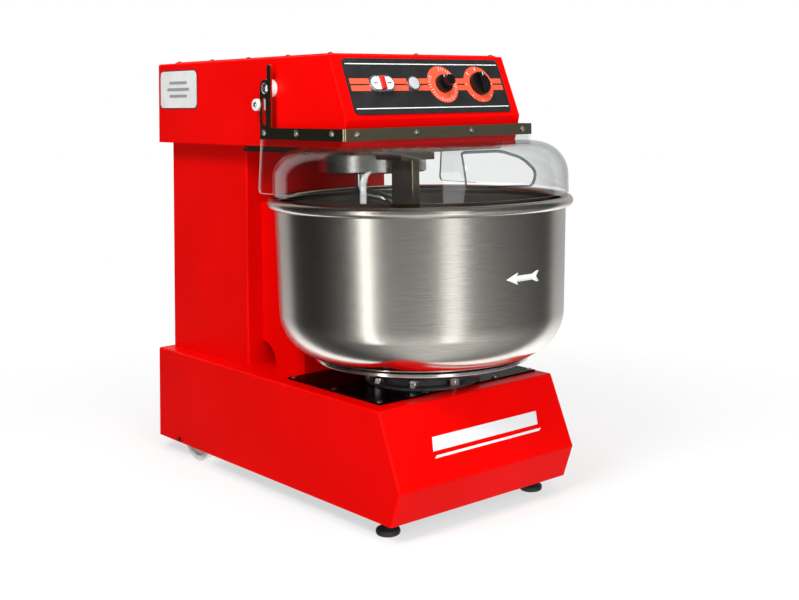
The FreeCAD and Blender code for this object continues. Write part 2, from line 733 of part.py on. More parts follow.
def column_sprockets():
    lower = sprocket(FIRST_TEETH[0], COLUMN_SHAFT, UPPER_CHAIN_Z, 12.5)
    upper = sprocket(SPIRAL_TEETH[0], COLUMN_SHAFT, SPIRAL_CHAIN_Z, 12.5)
    return group([lower, upper])


def countershaft():
    return cyl(12.5 - RUN, COUNTER_SHAFT, (76, 200))


def countershaft_sprockets():
    large = sprocket(FIRST_TEETH[1], COUNTER_SHAFT, UPPER_CHAIN_Z, 12.5)
    small = sprocket(SECOND_TEETH[0], COUNTER_SHAFT, LOWER_CHAIN_Z, 12.5)
    return group([large, small])


def bowl_sprocket():
    return sprocket(SECOND_TEETH[1], (0, BOWL_Y), LOWER_CHAIN_Z, 20.0)


def spiral_sprocket():
    return sprocket(SPIRAL_TEETH[1], (0, SPIRAL_Y), SPIRAL_CHAIN_Z, 15.0)


def drive_chains():
    spiral = chain(COLUMN_SHAFT, SPIRAL_TEETH[0], (0, SPIRAL_Y), SPIRAL_TEETH[1], SPIRAL_CHAIN_Z)
    first = chain(COLUMN_SHAFT, FIRST_TEETH[0], COUNTER_SHAFT, FIRST_TEETH[1], UPPER_CHAIN_Z)
    second = chain(COUNTER_SHAFT, SECOND_TEETH[0], (0, BOWL_Y), SECOND_TEETH[1], LOWER_CHAIN_Z)
    return group([spiral, first, second])


def pulley(radius, centre, bore, hub_r):
    """A flat-bottomed pulley with a groove for each belt."""
    low = BELT_ROWS[0] - 3.0
    high = BELT_ROWS[1] + BELT_H + 3.0
    wheel = cyl(radius, centre, (low, high))
    for z in BELT_ROWS:
        groove = tube(radius + 1, radius - 7.0, centre, (z - 0.5, z + BELT_H + 0.5))
        wheel = wheel.cut(groove)
    hub = cyl(hub_r, centre, (low - 4, high))
    return join([wheel, hub]).cut(cyl(bore, centre, (low - 10, high + 10)))


def large_pulley():
    wheel = pulley(LARGE_PULLEY_R, COLUMN_SHAFT, 12.5, 22.0)
    for i in range(5):
        angle = math.radians(72 * i)
        hole = (COLUMN_SHAFT[0] + 56 * math.cos(angle), COLUMN_SHAFT[1] + 56 * math.sin(angle))
        wheel = wheel.cut(cyl(20.0, hole, (680, 730)))
    return wheel


def motor_pulley():
    return pulley(MOTOR_PULLEY_R, MOTOR, 12.0, 20.0)


def drive_belts():
    rows = []
    for z in BELT_ROWS:
        rows.append(belt(COLUMN_SHAFT, LARGE_PULLEY_R - 7 + TOUCH, MOTOR,
                         MOTOR_PULLEY_R - 7 + TOUCH, 8.5, (z, z + BELT_H)))
    return group(rows)


def motor_housing():
    """A finned motor hanging from the head plate by its flange."""
    top = HEAD_PLATE_Z[0]
    body = cyl(68.0, MOTOR, (350, top - 12))
    fins = []
    for i in range(24):
        fin = box((64, 73), (-1.5, 1.5), (365, top - 27))
        fin.rotate(Vector(0, 0, 0), AXIS_Z, 15 * i)
        fin.translate(Vector(MOTOR[0], MOTOR[1], 0))
        fins.append(fin)
    flange = cyl(78.0, MOTOR, (top - 12, top))
    shell = join([body, flange] + fins)
    shell = shell.cut(cyl(46.0, MOTOR, (360, top - 20)))
    return shell.cut(cyl(12.0 + RUN, MOTOR, (340, 620)))


def motor_rotor():
    core = cyl(45.0, MOTOR, (400, 550))
    shaft = cyl(12.0, MOTOR, (352, 722))
    return join([core, shaft])


def bearing_carriers():
    """Bolted bearing blocks of the column shaft and the countershaft."""
    under_deck = (182, DECK_TOP - DECK_T)
    blocks = ((COLUMN_SHAFT, (608, 648), 52.0, (HEAD_BOTTOM, HEAD_BOTTOM + 6)),
              (COLUMN_SHAFT, (160, 206), 44.0, under_deck),
              (COUNTER_SHAFT, (148, 201), 44.0, under_deck))
    return group([join([tube(31.0, 26.0, centre, z), tube(flange_r, 26.0, centre, flange_z)])
                  for centre, z, flange_r, flange_z in blocks])


def ball_bearing(centre, bore, outside, z):
    """A sealed bearing, drawn as one ring whose bore has running clearance."""
    ring = tube(outside, bore + RUN, centre, z)
    groove = tube(outside * 0.82, bore * 1.25, centre, (z[1] - 1.0, z[1] + 1))
    return ring.cut(groove)


def shaft_bearings():
    rings = []
    for z in ((136, 158), (184, 206)):
        rings.append(ball_bearing((0, BOWL_Y), 20.0, 38.0, z))
    for z in ((613, 629), (639, 655)):
        rings.append(ball_bearing((0, SPIRAL_Y), 15.0 - RUN, 30.0, z))
    for z in ((628, 644), (164, 180), (188, 204)):
        rings.append(ball_bearing(COLUMN_SHAFT, 12.5 - RUN, 26.0, z))
    for z in ((152, 168), (186, 198)):
        rings.append(ball_bearing(COUNTER_SHAFT, 12.5 - RUN, 26.0, z))
    return group(rings)


# ---- Guard ----

def guard_frame():
    """The bent flat bar round the head, with its two hinge arms."""
    inner_half = STRIP_HALF - STRIP_T
    height = STRIP_Z[1] - STRIP_Z[0]
    outer = box((-STRIP_HALF, STRIP_HALF), (STRIP_FRONT, ARM_Y[1]), STRIP_Z)
    outer = round_edges(outer, 6.0, lambda edge: (rises(edge, height)
                                                  and edge.CenterOfMass.y < STRIP_FRONT + 5))
    inner = box((-inner_half, inner_half), (STRIP_FRONT + STRIP_T, ARM_Y[1] + 1),
                (STRIP_Z[0] - 1, STRIP_Z[1] + 1))
    strip = outer.cut(inner)
    x = (inner_half, STRIP_HALF)
    hinge_y, hinge_z = HINGE
    eye_r = (ARM_Y[1] - ARM_Y[0]) / 2
    arm = join([box(x, ARM_Y, (STRIP_Z[0], hinge_z)),
                rod_along(AXIS_X, eye_r, (inner_half, sum(ARM_Y) / 2, hinge_z), STRIP_T),
                box(x, (-26.5, -14.5), (STRIP_Z[1], 757)),
                rod_along(AXIS_X, 6.0, (inner_half, -20.5, 756), STRIP_T)])
    slot_y = -5.5
    slot = join([box(x, (slot_y - 5, slot_y + 5), ARM_Z)]
                + [rod_along(AXIS_X, 5.0, (inner_half, slot_y, z), STRIP_T) for z in ARM_Z])
    arm = arm.cut(slot)
    arm = arm.cut(rod_along(AXIS_X, 4.0 + RUN, (inner_half - 1, hinge_y, hinge_z), 5))
    frame = join([strip, arm, mirrored(arm)])
    return with_guard_holes(frame)


def guard_screw_places():
    """Place and outward direction of each screw through the bar and the dome."""
    sides = [((side * STRIP_HALF, y, 643.0), (side, 0, 0)) for side in (-1, 1)
             for y in (-4.0, -101.5, -201.5)]
    front = [((x, STRIP_FRONT, 641.5), (0, -1, 0)) for x in (-192.0, -64.0, 64.0, 192.0)]
    return sides + front


def with_guard_holes(shape):
    for place, direction in guard_screw_places():
        shape = drilled(shape, 3.0 + FIT, [place], direction, 9)
    return shape


def guard_screws():
    screw = button_screw(3.0, 9.5, 5.5, 3.2)
    nut = hexagon(10.0, (-10.5, -STRIP_T - DOME_T)).cut(cyl(3.0, (0, 0), (-11, 1)))
    pieces = []
    for place, direction in guard_screw_places():
        pieces.append(turned(screw, place, direction))
        pieces.append(turned(nut, place, direction))
    return group(pieces)


def dome_block(shrink):
    """The dome filled in: a rounded drum over the bowl and a box behind the bar."""
    margin = 1.0 if shrink else 0.0
    low = DOME_Z[0] - margin
    high = DOME_Z[1] - shrink
    drum = cyl(DOME_R - shrink, (0, BOWL_Y), (low, high))
    drum = round_edges(drum, DOME_ROUND - shrink,
                       lambda edge: edge.Closed and edge.CenterOfMass.z > high - 1)
    half = STRIP_HALF - STRIP_T - shrink
    drum_end = BOWL_Y + math.sqrt(DOME_R ** 2 - half ** 2) + 5
    drum = drum.cut(box((-DOME_R, DOME_R), (drum_end, drum_end + DOME_R), (low - 1, high + 1)))
    front = STRIP_FRONT + STRIP_T + shrink
    rear = CHEEK_REAR[0] + margin
    top = STRIP_Z[1] + margin
    block = side_prism([(front, low), (rear, low), (CHEEK_REAR[1] + margin, top), (front, top)], half)
    if not shrink:
        block = round_edges(block, 11.0, lambda edge: (edge.CenterOfMass.y > rear - 0.1
                                                       and edge.CenterOfMass.z < low + 0.1))
    return drum.fuse(block)


def feed_cutter():
    """The slanting hole in the dome's shoulder where flour and water go in."""
    hole = plan_prism(FEED_OUTLINE, (-60, 40))
    hole = round_edges(hole, 9.0, lambda edge: rises(edge, 100))
    turn = FreeCAD.Rotation(AXIS_Z, FEED_AZIMUTH + 90) * FreeCAD.Rotation(AXIS_X, 45)
    azimuth = math.radians(FEED_AZIMUTH)
    reach, height = FEED_CENTRE
    centre = Vector(reach * math.cos(azimuth), BOWL_Y + reach * math.sin(azimuth), height)
    hole.Placement = FreeCAD.Placement(centre, turn)
    return hole


def guard_dome():
    dome = dome_block(0.0).cut(dome_block(DOME_T))
    return with_guard_holes(dome.cut(feed_cutter()))


def guard_bushes():
    """White nylon: the spacers on the hinge line and the stops behind the arms."""
    inner_half = STRIP_HALF - STRIP_T
    spacer = rod_along(AXIS_X, 15.5, (HEAD_HALF, *HINGE), inner_half - HEAD_HALF - TOUCH)
    spacer = spacer.cut(rod_along(AXIS_X, 4.0 + FIT, (HEAD_HALF - 1, *HINGE), 20))
    stop = rod_along(AXIS_X, 10.5, (HEAD_HALF, *STOP_BUSH), 19.5)
    stop = round_edges(stop, 1.0, lambda edge: edge.Closed and edge.CenterOfMass.x > HEAD_HALF + 1)
    stop = stop.cut(rod_along(AXIS_X, 3.0 + FIT, (HEAD_HALF - 1, *STOP_BUSH), 30))
    return group([spacer, mirrored(spacer), stop, mirrored(stop)])


def guard_pivot_screws():
    hinge = button_screw(4.0, 22.5, 10.0, 4.2)
    stop = button_screw(3.0, 26.0, 5.5, 2.8)
    pieces = []
    for side in (-1, 1):
        direction = (side, 0, 0)
        pieces.append(turned(hinge, (side * (STRIP_HALF + TOUCH), *HINGE), direction))
        pieces.append(turned(stop, (side * (HEAD_HALF + 19.5), *STOP_BUSH), direction))
    return group(pieces)


def guard_switch():
    """The interlock switch inside the head, beside the left hinge."""
    body = box((-190, -172), (-30, 20), (690, 740))
    plunger = cyl(5.0, (0, 0), (0, 6))
    return join([body, turned(plunger, (-190, -7.5, 712), (-1, 0, 0))]).cut(
        rod_along(AXIS_X, 6.5, (-205, *HINGE), 12))


# ---- Controls ----

def stadium(width, height, z):
    """A flat oval with half-round ends, centred on the origin."""
    straight = (width - height) / 2
    middle = box((-straight, straight), (-height / 2, height / 2), z)
    return join([middle, cyl(height / 2, (-straight, 0), z), cyl(height / 2, (straight, 0), z)])


def control_panel():
    """The dark plate on the sloping face."""
    low, high = PANEL_V
    plate = box((-PANEL_HALF, PANEL_HALF), (low, high), (0, PANEL_T))
    plate = round_edges(plate, 9.0, lambda edge: rises(edge, PANEL_T))
    return with_control_holes(panel_placed(plate, 0, 0), 10)


BEZEL_Z = (PANEL_T, PANEL_T + 7.0)
POCKET_FLOOR = PANEL_T + 1.5
STEM_X = 7.0


def button_bezels():
    """Chromed rims with a threaded barrel through the panel."""
    oval = stadium(55, 30, BEZEL_Z)
    oval = round_edges(oval, 1.5, lambda edge: edge.CenterOfMass.z > BEZEL_Z[1] - 0.1)
    oval = oval.cut(stadium(49, 24, (POCKET_FLOOR, 20)))
    barrel = tube(11.0, 9.5, (0, 0), (-18, PANEL_T))
    oval = join([oval, barrel])
    for x in (-STEM_X, 0, STEM_X):
        oval = oval.cut(cyl(2.2, (x, 0), (0, 20)))
    ring = Part.makeCone(15.0, 13.5, 7.0, Vector(0, 0, PANEL_T), AXIS_Z)
    ring = ring.cut(cyl(11.5, (0, 0), (POCKET_FLOOR, 20)))
    ring = join([ring, barrel]).cut(cyl(3.2, (0, 0), (0, 20)))
    return group([panel_placed(oval, TRIPLE_X, CONTROL_V), panel_placed(ring, START_X, CONTROL_V)])


CAP_FLOOR = POCKET_FLOOR + BUTTON_TRAVEL + 0.3


def oval_cap(x_range, top, stem_x):
    cap = stadium(48.2, 23.2, (CAP_FLOOR, top)).common(box(x_range, (-20, 20), (0, 40)))
    return join([cap, cyl(2.2 - RUN, (stem_x, 0), (-8, CAP_FLOOR))])


def button_left():
    return panel_placed(oval_cap((-25, -5.2), 10.5, -STEM_X), TRIPLE_X, CONTROL_V)


def button_right():
    return panel_placed(oval_cap((5.2, 25), 10.5, STEM_X), TRIPLE_X, CONTROL_V)


def button_stop():
    cap = oval_cap((-4.8, 4.8), 14.5, 0)
    cap = round_edges(cap, 1.5, lambda edge: edge.CenterOfMass.z > 14.4)
    return panel_placed(cap, TRIPLE_X, CONTROL_V)


def button_start():
    cap = cyl(11.2, (0, 0), (CAP_FLOOR, 10.5))
    cap = round_edges(cap, 1.2, lambda edge: edge.Closed and edge.CenterOfMass.z > 10.4)
    stem = cyl(3.2 - RUN, (0, 0), (-8, CAP_FLOOR))
    return panel_placed(join([cap, stem]), START_X, CONTROL_V)


KNOB_Z = PANEL_T + TOUCH


def timer_knob():
    skirt = cyl(16.5, (0, 0), (KNOB_Z, 12))
    skirt = round_edges(skirt, 1.5, lambda edge: edge.CenterOfMass.z > 11)
    grip = cyl(9.8, (0, 0), (12, 27))
    for i in range(12):
        angle = math.radians(30 * i)
        flute = cyl(1.4, (10.6 * math.cos(angle), 10.6 * math.sin(angle)), (14, 28))
        grip = grip.cut(flute)
    spindle = cyl(3.0, (0, 0), (-14, KNOB_Z))
    return panel_placed(join([skirt, grip, spindle]), TIMER_X, CONTROL_V)


def selector_knob():
    skirt = cyl(21.5, (0, 0), (KNOB_Z, 13))
    skirt = round_edges(skirt, 2.0, lambda edge: edge.CenterOfMass.z > 12)
    bar = stadium(37, 11, (13, 20))
    bar = round_edges(bar, 1.5, lambda edge: edge.CenterOfMass.z > 19.9)
    bar.rotate(Vector(0, 0, 0), AXIS_Z, 90)
    spindle = cyl(3.0, (0, 0), (-14, KNOB_Z))
    return panel_placed(join([skirt, bar, spindle]), SELECTOR_X, CONTROL_V)


def switch_bodies():
    """Contact blocks, timer and selector switch behind the panel."""
    contact = box((-14, 14), (-20, 20), (-58, -18.2))
    pieces = [panel_placed(contact, x, CONTROL_V) for x in (TRIPLE_X, START_X)]
    neck = cyl(6.0, (0, 0), (-8, -0.5))
    rotary = join([box((-22, 22), (-22, 22), (-46, -4)), neck])
    rotary = rotary.cut(cyl(3.0 + RUN, (0, 0), (-16, 5)))
    pieces += [panel_placed(rotary, x, CONTROL_V) for x in (TIMER_X, SELECTOR_X)]
    return group(pieces)


def control_box():
    """The box with the contactors and the transformer, low in the column."""
    case = box((-40, 110), (330, 400), (232, 322))
    return round_edges(case, 3.0, lambda edge: edge.CenterOfMass.z > 321)


def power_cable():
    """The gland at the rear of the base and the first length of the cable."""
    thread = rod_along(AXIS_Y, 8.0, (CABLE_X, BASE_REAR - 6, CABLE_Z), 12)
    nut = turned(hexagon(22.0, (0, 6)), (CABLE_X, BASE_REAR, CABLE_Z), (0, 1, 0))
    cap = turned(Part.makeCone(9.5, 6.5, 6.0), (CABLE_X, BASE_REAR + 6, CABLE_Z), (0, 1, 0))
    gland = join([thread, nut, cap])
    bend = CABLE_BACK_Y - (BASE_REAR + 8)
    start = Vector(CABLE_X, BASE_REAR - 20, CABLE_Z)
    straight_end = Vector(CABLE_X, BASE_REAR + 8, CABLE_Z)
    turn_mid = Vector(CABLE_X, BASE_REAR + 8 + bend * math.sin(math.pi / 4),
                      CABLE_Z - bend * (1 - math.cos(math.pi / 4)))
    turn_end = Vector(CABLE_X, CABLE_BACK_Y, CABLE_Z - bend)
    low = Vector(CABLE_X, CABLE_BACK_Y, 6.0)
    path = Part.Wire([Part.makeLine(start, straight_end),
                      Part.Arc(straight_end, turn_mid, turn_end).toShape(),
                      Part.makeLine(turn_end, low)])
    section = Part.Wire(Part.makeCircle(CABLE_R, start, AXIS_Y))
    cable = path.makePipeShell([section], True, True)
    return group([gland.cut(cable), cable])


# ---- The pieces, one file each ----

PIECES = {
    "base_shell": base_shell,
    "base_cover_plate": base_cover_plate,
    "cover_screws": cover_screws,
    "column_shell": column_shell,
    "rear_cover": rear_cover,
    "bowl_apron": bowl_apron,
    "head_shell": head_shell,
    "head_lid": head_lid,
    "head_plate": head_plate,
    "head_plate_bolts": head_plate_bolts,
    "chassis_frame": chassis_frame,
    "rear_axle": rear_axle,
    "wheel_left": lambda: wheel(-1),
    "wheel_right": lambda: wheel(1),
    "foot_left": lambda: foot(-1),
    "foot_right": lambda: foot(1),
    "bowl": bowl,
    "bowl_ring": bowl_ring,
    "bowl_shaft": bowl_shaft,
    "bowl_sprocket": bowl_sprocket,
    "bowl_bearing_housing": bowl_bearing_housing,
    "bowl_housing_bolts": bowl_housing_bolts,
    "spiral_hub": spiral_hub,
    "spiral_hook": spiral_hook,
    "spiral_shaft": spiral_shaft,
    "spiral_sprocket": spiral_sprocket,
    "spiral_bearing_housing": spiral_bearing_housing,
    "breaker_bar": breaker_bar,
    "column_shaft": column_shaft,
    "column_sprockets": column_sprockets,
    "large_pulley": large_pulley,
    "countershaft": countershaft,
    "countershaft_sprockets": countershaft_sprockets,
    "bearing_carriers": bearing_carriers,
    "shaft_bearings": shaft_bearings,
    "drive_chains": drive_chains,
    "drive_belts": drive_belts,
    "motor_housing": motor_housing,
    "motor_rotor": motor_rotor,
    "motor_pulley": motor_pulley,
    "guard_frame": guard_frame,
    "guard_dome": guard_dome,
    "guard_screws": guard_screws,
    "guard_bushes": guard_bushes,
    "guard_pivot_screws": guard_pivot_screws,
    "guard_switch": guard_switch,
    "control_panel": control_panel,
    "button_bezels": button_bezels,
    "button_left": button_left,
    "button_stop": button_stop,
    "button_right": button_right,
    "button_start": button_start,
    "timer_knob": timer_knob,
    "selector_knob": selector_knob,
    "switch_bodies": switch_bodies,
    "control_box": control_box,
    "power_cable": power_cable,
}

for name, make in PIECES.items():
    make().exportStep(f"parts/{name}.step")
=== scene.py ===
import json
import math

import bmesh
import bpy
from mathutils import Matrix, Vector


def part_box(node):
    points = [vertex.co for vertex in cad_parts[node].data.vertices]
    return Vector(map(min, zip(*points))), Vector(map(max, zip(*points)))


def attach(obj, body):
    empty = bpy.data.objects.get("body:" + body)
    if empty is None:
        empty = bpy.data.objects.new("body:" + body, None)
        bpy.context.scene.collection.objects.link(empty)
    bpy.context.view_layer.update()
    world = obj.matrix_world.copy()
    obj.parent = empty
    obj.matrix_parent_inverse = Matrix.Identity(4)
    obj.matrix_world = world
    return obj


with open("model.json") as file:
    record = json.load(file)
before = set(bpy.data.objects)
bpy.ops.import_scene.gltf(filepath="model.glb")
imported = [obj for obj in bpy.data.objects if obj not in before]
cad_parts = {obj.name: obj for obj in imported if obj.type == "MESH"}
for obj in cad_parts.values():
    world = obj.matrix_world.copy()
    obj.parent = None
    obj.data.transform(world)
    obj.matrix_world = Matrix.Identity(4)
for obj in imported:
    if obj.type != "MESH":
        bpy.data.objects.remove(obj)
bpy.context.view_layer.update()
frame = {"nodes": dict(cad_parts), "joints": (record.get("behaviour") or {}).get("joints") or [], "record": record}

# A spiral dough mixer. Metres, +Z up, the operator stands at -Y.

MM = 0.001
NODES = frame["nodes"]
JOINTS = {joint["name"]: joint for joint in frame["joints"]}
SLOT_OF = {part["node"]: part["material_slot"] for part in frame["record"]["subparts"]}


# ---- Small helpers ----

def middle(node):
    low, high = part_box(node)
    return (low + high) / 2


def size(node):
    low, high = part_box(node)
    return high - low


def mesh_piece(name, bm, body, materials, smooth_angle=None):
    """Turns a bmesh into a named piece that rides on a body."""
    bmesh.ops.recalc_face_normals(bm, faces=bm.faces)
    mesh = bpy.data.meshes.new(name)
    bm.to_mesh(mesh)
    bm.free()
    piece = bpy.data.objects.new(name, mesh)
    bpy.context.scene.collection.objects.link(piece)
    for material in materials if isinstance(materials, list) else [materials]:
        mesh.materials.append(material)
    if smooth_angle is not None:
        smooth(piece, smooth_angle)
    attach(piece, body)
    return piece


def smooth(piece, degrees):
    """Smooth shading, with edges sharper than the angle kept crisp."""
    mesh = piece.data
    for polygon in mesh.polygons:
        polygon.use_smooth = True
    mesh.set_sharp_from_angle(angle=math.radians(degrees))


def modifier(piece, kind, **settings):
    added = piece.modifiers.new(kind.lower(), kind)
    for key, value in settings.items():
        setattr(added, key, value)
    return added


# ---- Materials ----

class Shader:
    """A material with one Principled shader and helpers for its node tree."""

    def __init__(self, name):
        self.material = bpy.data.materials.new(name)
        self.material.use_nodes = True
        self.tree = self.material.node_tree
        self.tree.nodes.clear()
        self.output = self.node("ShaderNodeOutputMaterial")
        self.bsdf = self.node("ShaderNodeBsdfPrincipled")
        self.link(self.bsdf, 0, self.output, "Surface")

    def node(self, kind, **settings):
        made = self.tree.nodes.new(kind)
        for key, value in settings.items():
            setattr(made, key, value)
        return made

    def link(self, source, output, target, target_input):
        self.tree.links.new(source.outputs[output], target.inputs[target_input])

    def set(self, **values):
        for key, value in values.items():
            self.bsdf.inputs[key.replace("_", " ")].default_value = value

    def coordinates(self, stretch=(1, 1, 1)):
        place = self.node("ShaderNodeTexCoord")
        mapping = self.node("ShaderNodeMapping")
        mapping.inputs["Scale"].default_value = stretch
        self.link(place, "Object", mapping, "Vector")
        return mapping

    def noise(self, scale, detail=3.0, stretch=(1, 1, 1), vector=None):
        texture = self.node("ShaderNodeTexNoise")
        texture.inputs["Scale"].default_value = scale
        texture.inputs["Detail"].default_value = detail
        self.link(vector or self.coordinates(stretch), 0, texture, "Vector")
        return texture

    def ramp(self, source, output, stops):
        ramp = self.node("ShaderNodeValToRGB")
        elements = ramp.color_ramp.elements
        while len(elements) < len(stops):
            elements.new(0.5)
        for element, (position, colour) in zip(elements, stops):
            element.position = position
            element.color = colour if len(colour) == 4 else (*colour, 1)
        self.link(source, output, ramp, "Fac")
        return ramp

    def colour_from(self, source, output, stops):
        ramp = self.ramp(source, output, stops)
        self.link(ramp, "Color", self.bsdf, "Base Color")
        return ramp

    def value_from(self, source, output, low, high, target):
        spread = self.node("ShaderNodeMapRange")
        spread.inputs["To Min"].default_value = low
        spread.inputs["To Max"].default_value = high
        self.link(source, output, spread, "Value")
        self.link(spread, "Result", self.bsdf, target)
        return spread

    def bump(self, source, output, strength, distance):
        bump = self.node("ShaderNodeBump")
        bump.inputs["Strength"].default_value = strength
        bump.inputs["Distance"].default_value = distance
        self.link(source, output, bump, "Height")
        self.link(bump, "Normal", self.bsdf, "Normal")
        return bump


def powder_coat(name, dark, light, roughness=0.34, gloss=0.05):
    """Glossy powder coat: a slow change of shade and a fine orange peel."""
    shader = Shader(name)
    slow = shader.noise(5.0, 2.0)
    shader.colour_from(slow, "Fac", [(0.3, dark), (0.7, light)])
    peel = shader.noise(420.0, 2.0)
    shader.bump(peel, "Fac", 0.12, 0.0004)
    shader.value_from(slow, "Fac", roughness - 0.03, roughness + 0.05, "Roughness")
    shader.set(Coat_Weight=gloss, Coat_Roughness=0.09)
    shader.bsdf.inputs["Specular IOR Level"].default_value = gloss
    return shader.material


def moulded(name, dark, light, roughness, grain=900.0, bump=0.08, coat=0.0):
    """A plastic or rubber with a fine grain and slightly uneven shade."""
    shader = Shader(name)
    cloud = shader.noise(30.0, 3.0)
    shader.colour_from(cloud, "Fac", [(0.35, dark), (0.65, light)])
    fine = shader.noise(grain, 2.0)
    shader.bump(fine, "Fac", bump, 0.0002)
    shader.value_from(cloud, "Fac", roughness - 0.05, roughness + 0.06, "Roughness")
    shader.set(Coat_Weight=coat, Coat_Roughness=0.08)
    return shader.material


def metal(name, dark, light, roughness, stretch=(1, 1, 1), scale=120.0, bump=0.05):
    """Bare metal; stretch makes the noise into the lines of a brushed finish."""
    shader = Shader(name)
    grain = shader.noise(scale, 4.0, stretch)
    shader.colour_from(grain, "Fac", [(0.3, dark), (0.7, light)])
    shader.value_from(grain, "Fac", roughness - 0.06, roughness + 0.08, "Roughness")
    shader.bump(grain, "Fac", bump, 0.0002)
    shader.set(Metallic=1.0)
    return shader.material


def turned_steel(name, centre_y, dark, light, roughness, lines=900.0, sheen=0.7):
    """Steel brushed in circles about an upright axis at X 0 and the given Y."""
    shader = Shader(name)
    place = shader.node("ShaderNodeTexCoord")
    split = shader.node("ShaderNodeSeparateXYZ")
    shader.link(place, "Object", split, "Vector")
    shifted = shader.node("ShaderNodeMath", operation="SUBTRACT")
    shifted.inputs[0].default_value = centre_y
    shader.link(split, "Y", shifted, 1)
    angle = shader.node("ShaderNodeMath", operation="ARCTAN2")
    shader.link(split, "X", angle, 0)
    shader.link(shifted, 0, angle, 1)
    around = shader.node("ShaderNodeVectorMath", operation="LENGTH")
    flat = shader.node("ShaderNodeCombineXYZ")
    shader.link(split, "X", flat, "X")
    shader.link(shifted, 0, flat, "Y")
    shader.link(flat, 0, around, 0)
    lined = shader.node("ShaderNodeCombineXYZ")
    shader.link(angle, 0, lined, "X")
    height = shader.node("ShaderNodeMath", operation="MULTIPLY")
    shader.link(split, "Z", height, 0)
    height.inputs[1].default_value = lines / 8
    radius = shader.node("ShaderNodeMath", operation="MULTIPLY")
    shader.link(around, "Value", radius, 0)
    radius.inputs[1].default_value = lines / 8
    shader.link(height, 0, lined, "Y")
    shader.link(radius, 0, lined, "Z")
    fine = shader.noise(8.0, 5.0, vector=lined)
    shader.colour_from(fine, "Fac", [(0.25, dark), (0.75, light)])
    shader.value_from(fine, "Fac", roughness - 0.02, roughness + 0.04, "Roughness")
    shader.bump(fine, "Fac", 0.04, 0.0001)
    tangent = shader.node("ShaderNodeTangent", direction_type="RADIAL", axis="Z")
    shader.link(tangent, 0, shader.bsdf, "Tangent")
    shader.set(Metallic=1.0, Anisotropic=sheen)
    return shader.material


def clear_sheet(name, tint, edge_tint):
    """Clear polycarbonate: see-through, with reflections that grow towards the edges."""
    shader = Shader(name)
    shader.tree.nodes.remove(shader.bsdf)
    facing = shader.node("ShaderNodeLayerWeight")
    facing.inputs["Blend"].default_value = 0.35
    tints = shader.ramp(facing, "Facing", [(0.0, tint), (0.75, tint), (1.0, edge_tint)])
    through = shader.node("ShaderNodeBsdfTransparent")
    shader.link(tints, "Color", through, "Color")
    mirror = shader.node("ShaderNodeBsdfGlossy")
    smears = shader.noise(14.0, 3.0)
    gloss = shader.node("ShaderNodeMapRange")
    gloss.inputs["To Min"].default_value = 0.02
    gloss.inputs["To Max"].default_value = 0.07
    shader.link(smears, "Fac", gloss, "Value")
    shader.link(gloss, "Result", mirror, "Roughness")
    glance = shader.node("ShaderNodeLayerWeight")
    glance.inputs["Blend"].default_value = 0.5
    power = shader.node("ShaderNodeMath", operation="POWER")
    shader.link(glance, "Facing", power, 0)
    power.inputs[1].default_value = 4.0
    fresnel = shader.node("ShaderNodeMapRange")
    fresnel.inputs["To Min"].default_value = 0.05
    shader.link(power, 0, fresnel, "Value")
    mix = shader.node("ShaderNodeMixShader")
    shader.link(fresnel, "Result", mix, "Fac")
    shader.link(through, 0, mix, 1)
    shader.link(mirror, 0, mix, 2)
    shader.link(mix, 0, shader.output, "Surface")
    return shader.material


def printed(name, colour, roughness=0.45):
    """Screen-printed ink: flat colour broken by a faint screen texture."""
    shader = Shader(name)
    ink = shader.noise(260.0, 2.0)
    darker = tuple(channel * 0.93 for channel in colour)
    shader.colour_from(ink, "Fac", [(0.3, darker), (0.7, colour)])
    shader.bump(ink, "Fac", 0.05, 0.0001)
    shader.set(Roughness=roughness)
    return shader.material


BOWL_AXIS_Y = middle("bowl").y
HUB_AXIS_Y = middle("spiral_hub").y

RED = powder_coat("red_powder_coat", (0.72, 0.001, 0.0005), (0.80, 0.0015, 0.001))
BLACK_PLATE = powder_coat("black_plate", (0.0008, 0.0007, 0.0007), (0.002, 0.0018, 0.0018), 0.25, 0.015)
PANEL_BLACK = moulded("panel_black", (0.013, 0.013, 0.014), (0.020, 0.020, 0.021), 0.5, 500, 0.1)
BOWL_STEEL = turned_steel("bowl_steel", BOWL_AXIS_Y, (0.41, 0.39, 0.355), (0.59, 0.565, 0.515), 0.20, 2400)
HUB_STEEL = turned_steel("hub_steel", HUB_AXIS_Y, (0.45, 0.44, 0.42), (0.62, 0.60, 0.57), 0.22)
FLAT_STEEL = metal("flat_steel", (0.44, 0.38, 0.25), (0.54, 0.46, 0.32), 0.17, (1, 1, 30), 40)
POLISHED = metal("polished_steel", (0.60, 0.58, 0.55), (0.72, 0.70, 0.67), 0.14, scale=60)
MACHINED = metal("machined_steel", (0.40, 0.40, 0.41), (0.55, 0.55, 0.56), 0.3, (1, 1, 20), 60)
ZINC = metal("zinc_fastener", (0.52, 0.51, 0.48), (0.70, 0.69, 0.66), 0.24, scale=500)
CHROME = metal("chrome_ring", (0.74, 0.74, 0.75), (0.86, 0.86, 0.88), 0.25, scale=300, bump=0.02)
PRIMER = powder_coat("grey_primer", (0.05, 0.05, 0.055), (0.08, 0.08, 0.085), 0.5)
CASTING = moulded("painted_casting", (0.030, 0.031, 0.034), (0.06, 0.06, 0.065), 0.5, 240, 0.4)
ALLOY = metal("motor_alloy", (0.30, 0.31, 0.33), (0.44, 0.45, 0.47), 0.45, scale=300, bump=0.2)
BELT = moulded("belt_rubber", (0.012, 0.012, 0.012), (0.025, 0.025, 0.025), 0.7, 700, 0.3)
CLEAR = clear_sheet("clear_polycarbonate", (0.955, 0.965, 0.965), (0.72, 0.74, 0.75))
# The feed lip is the same clear sheet, tinted grey and near black at grazing: painted shade for the dark line its
# curved edge shows.
LIP_WITH_PAINTED_SHADE = clear_sheet("clear_lip_painted_shade", (0.52, 0.53, 0.54), (0.05, 0.05, 0.06))
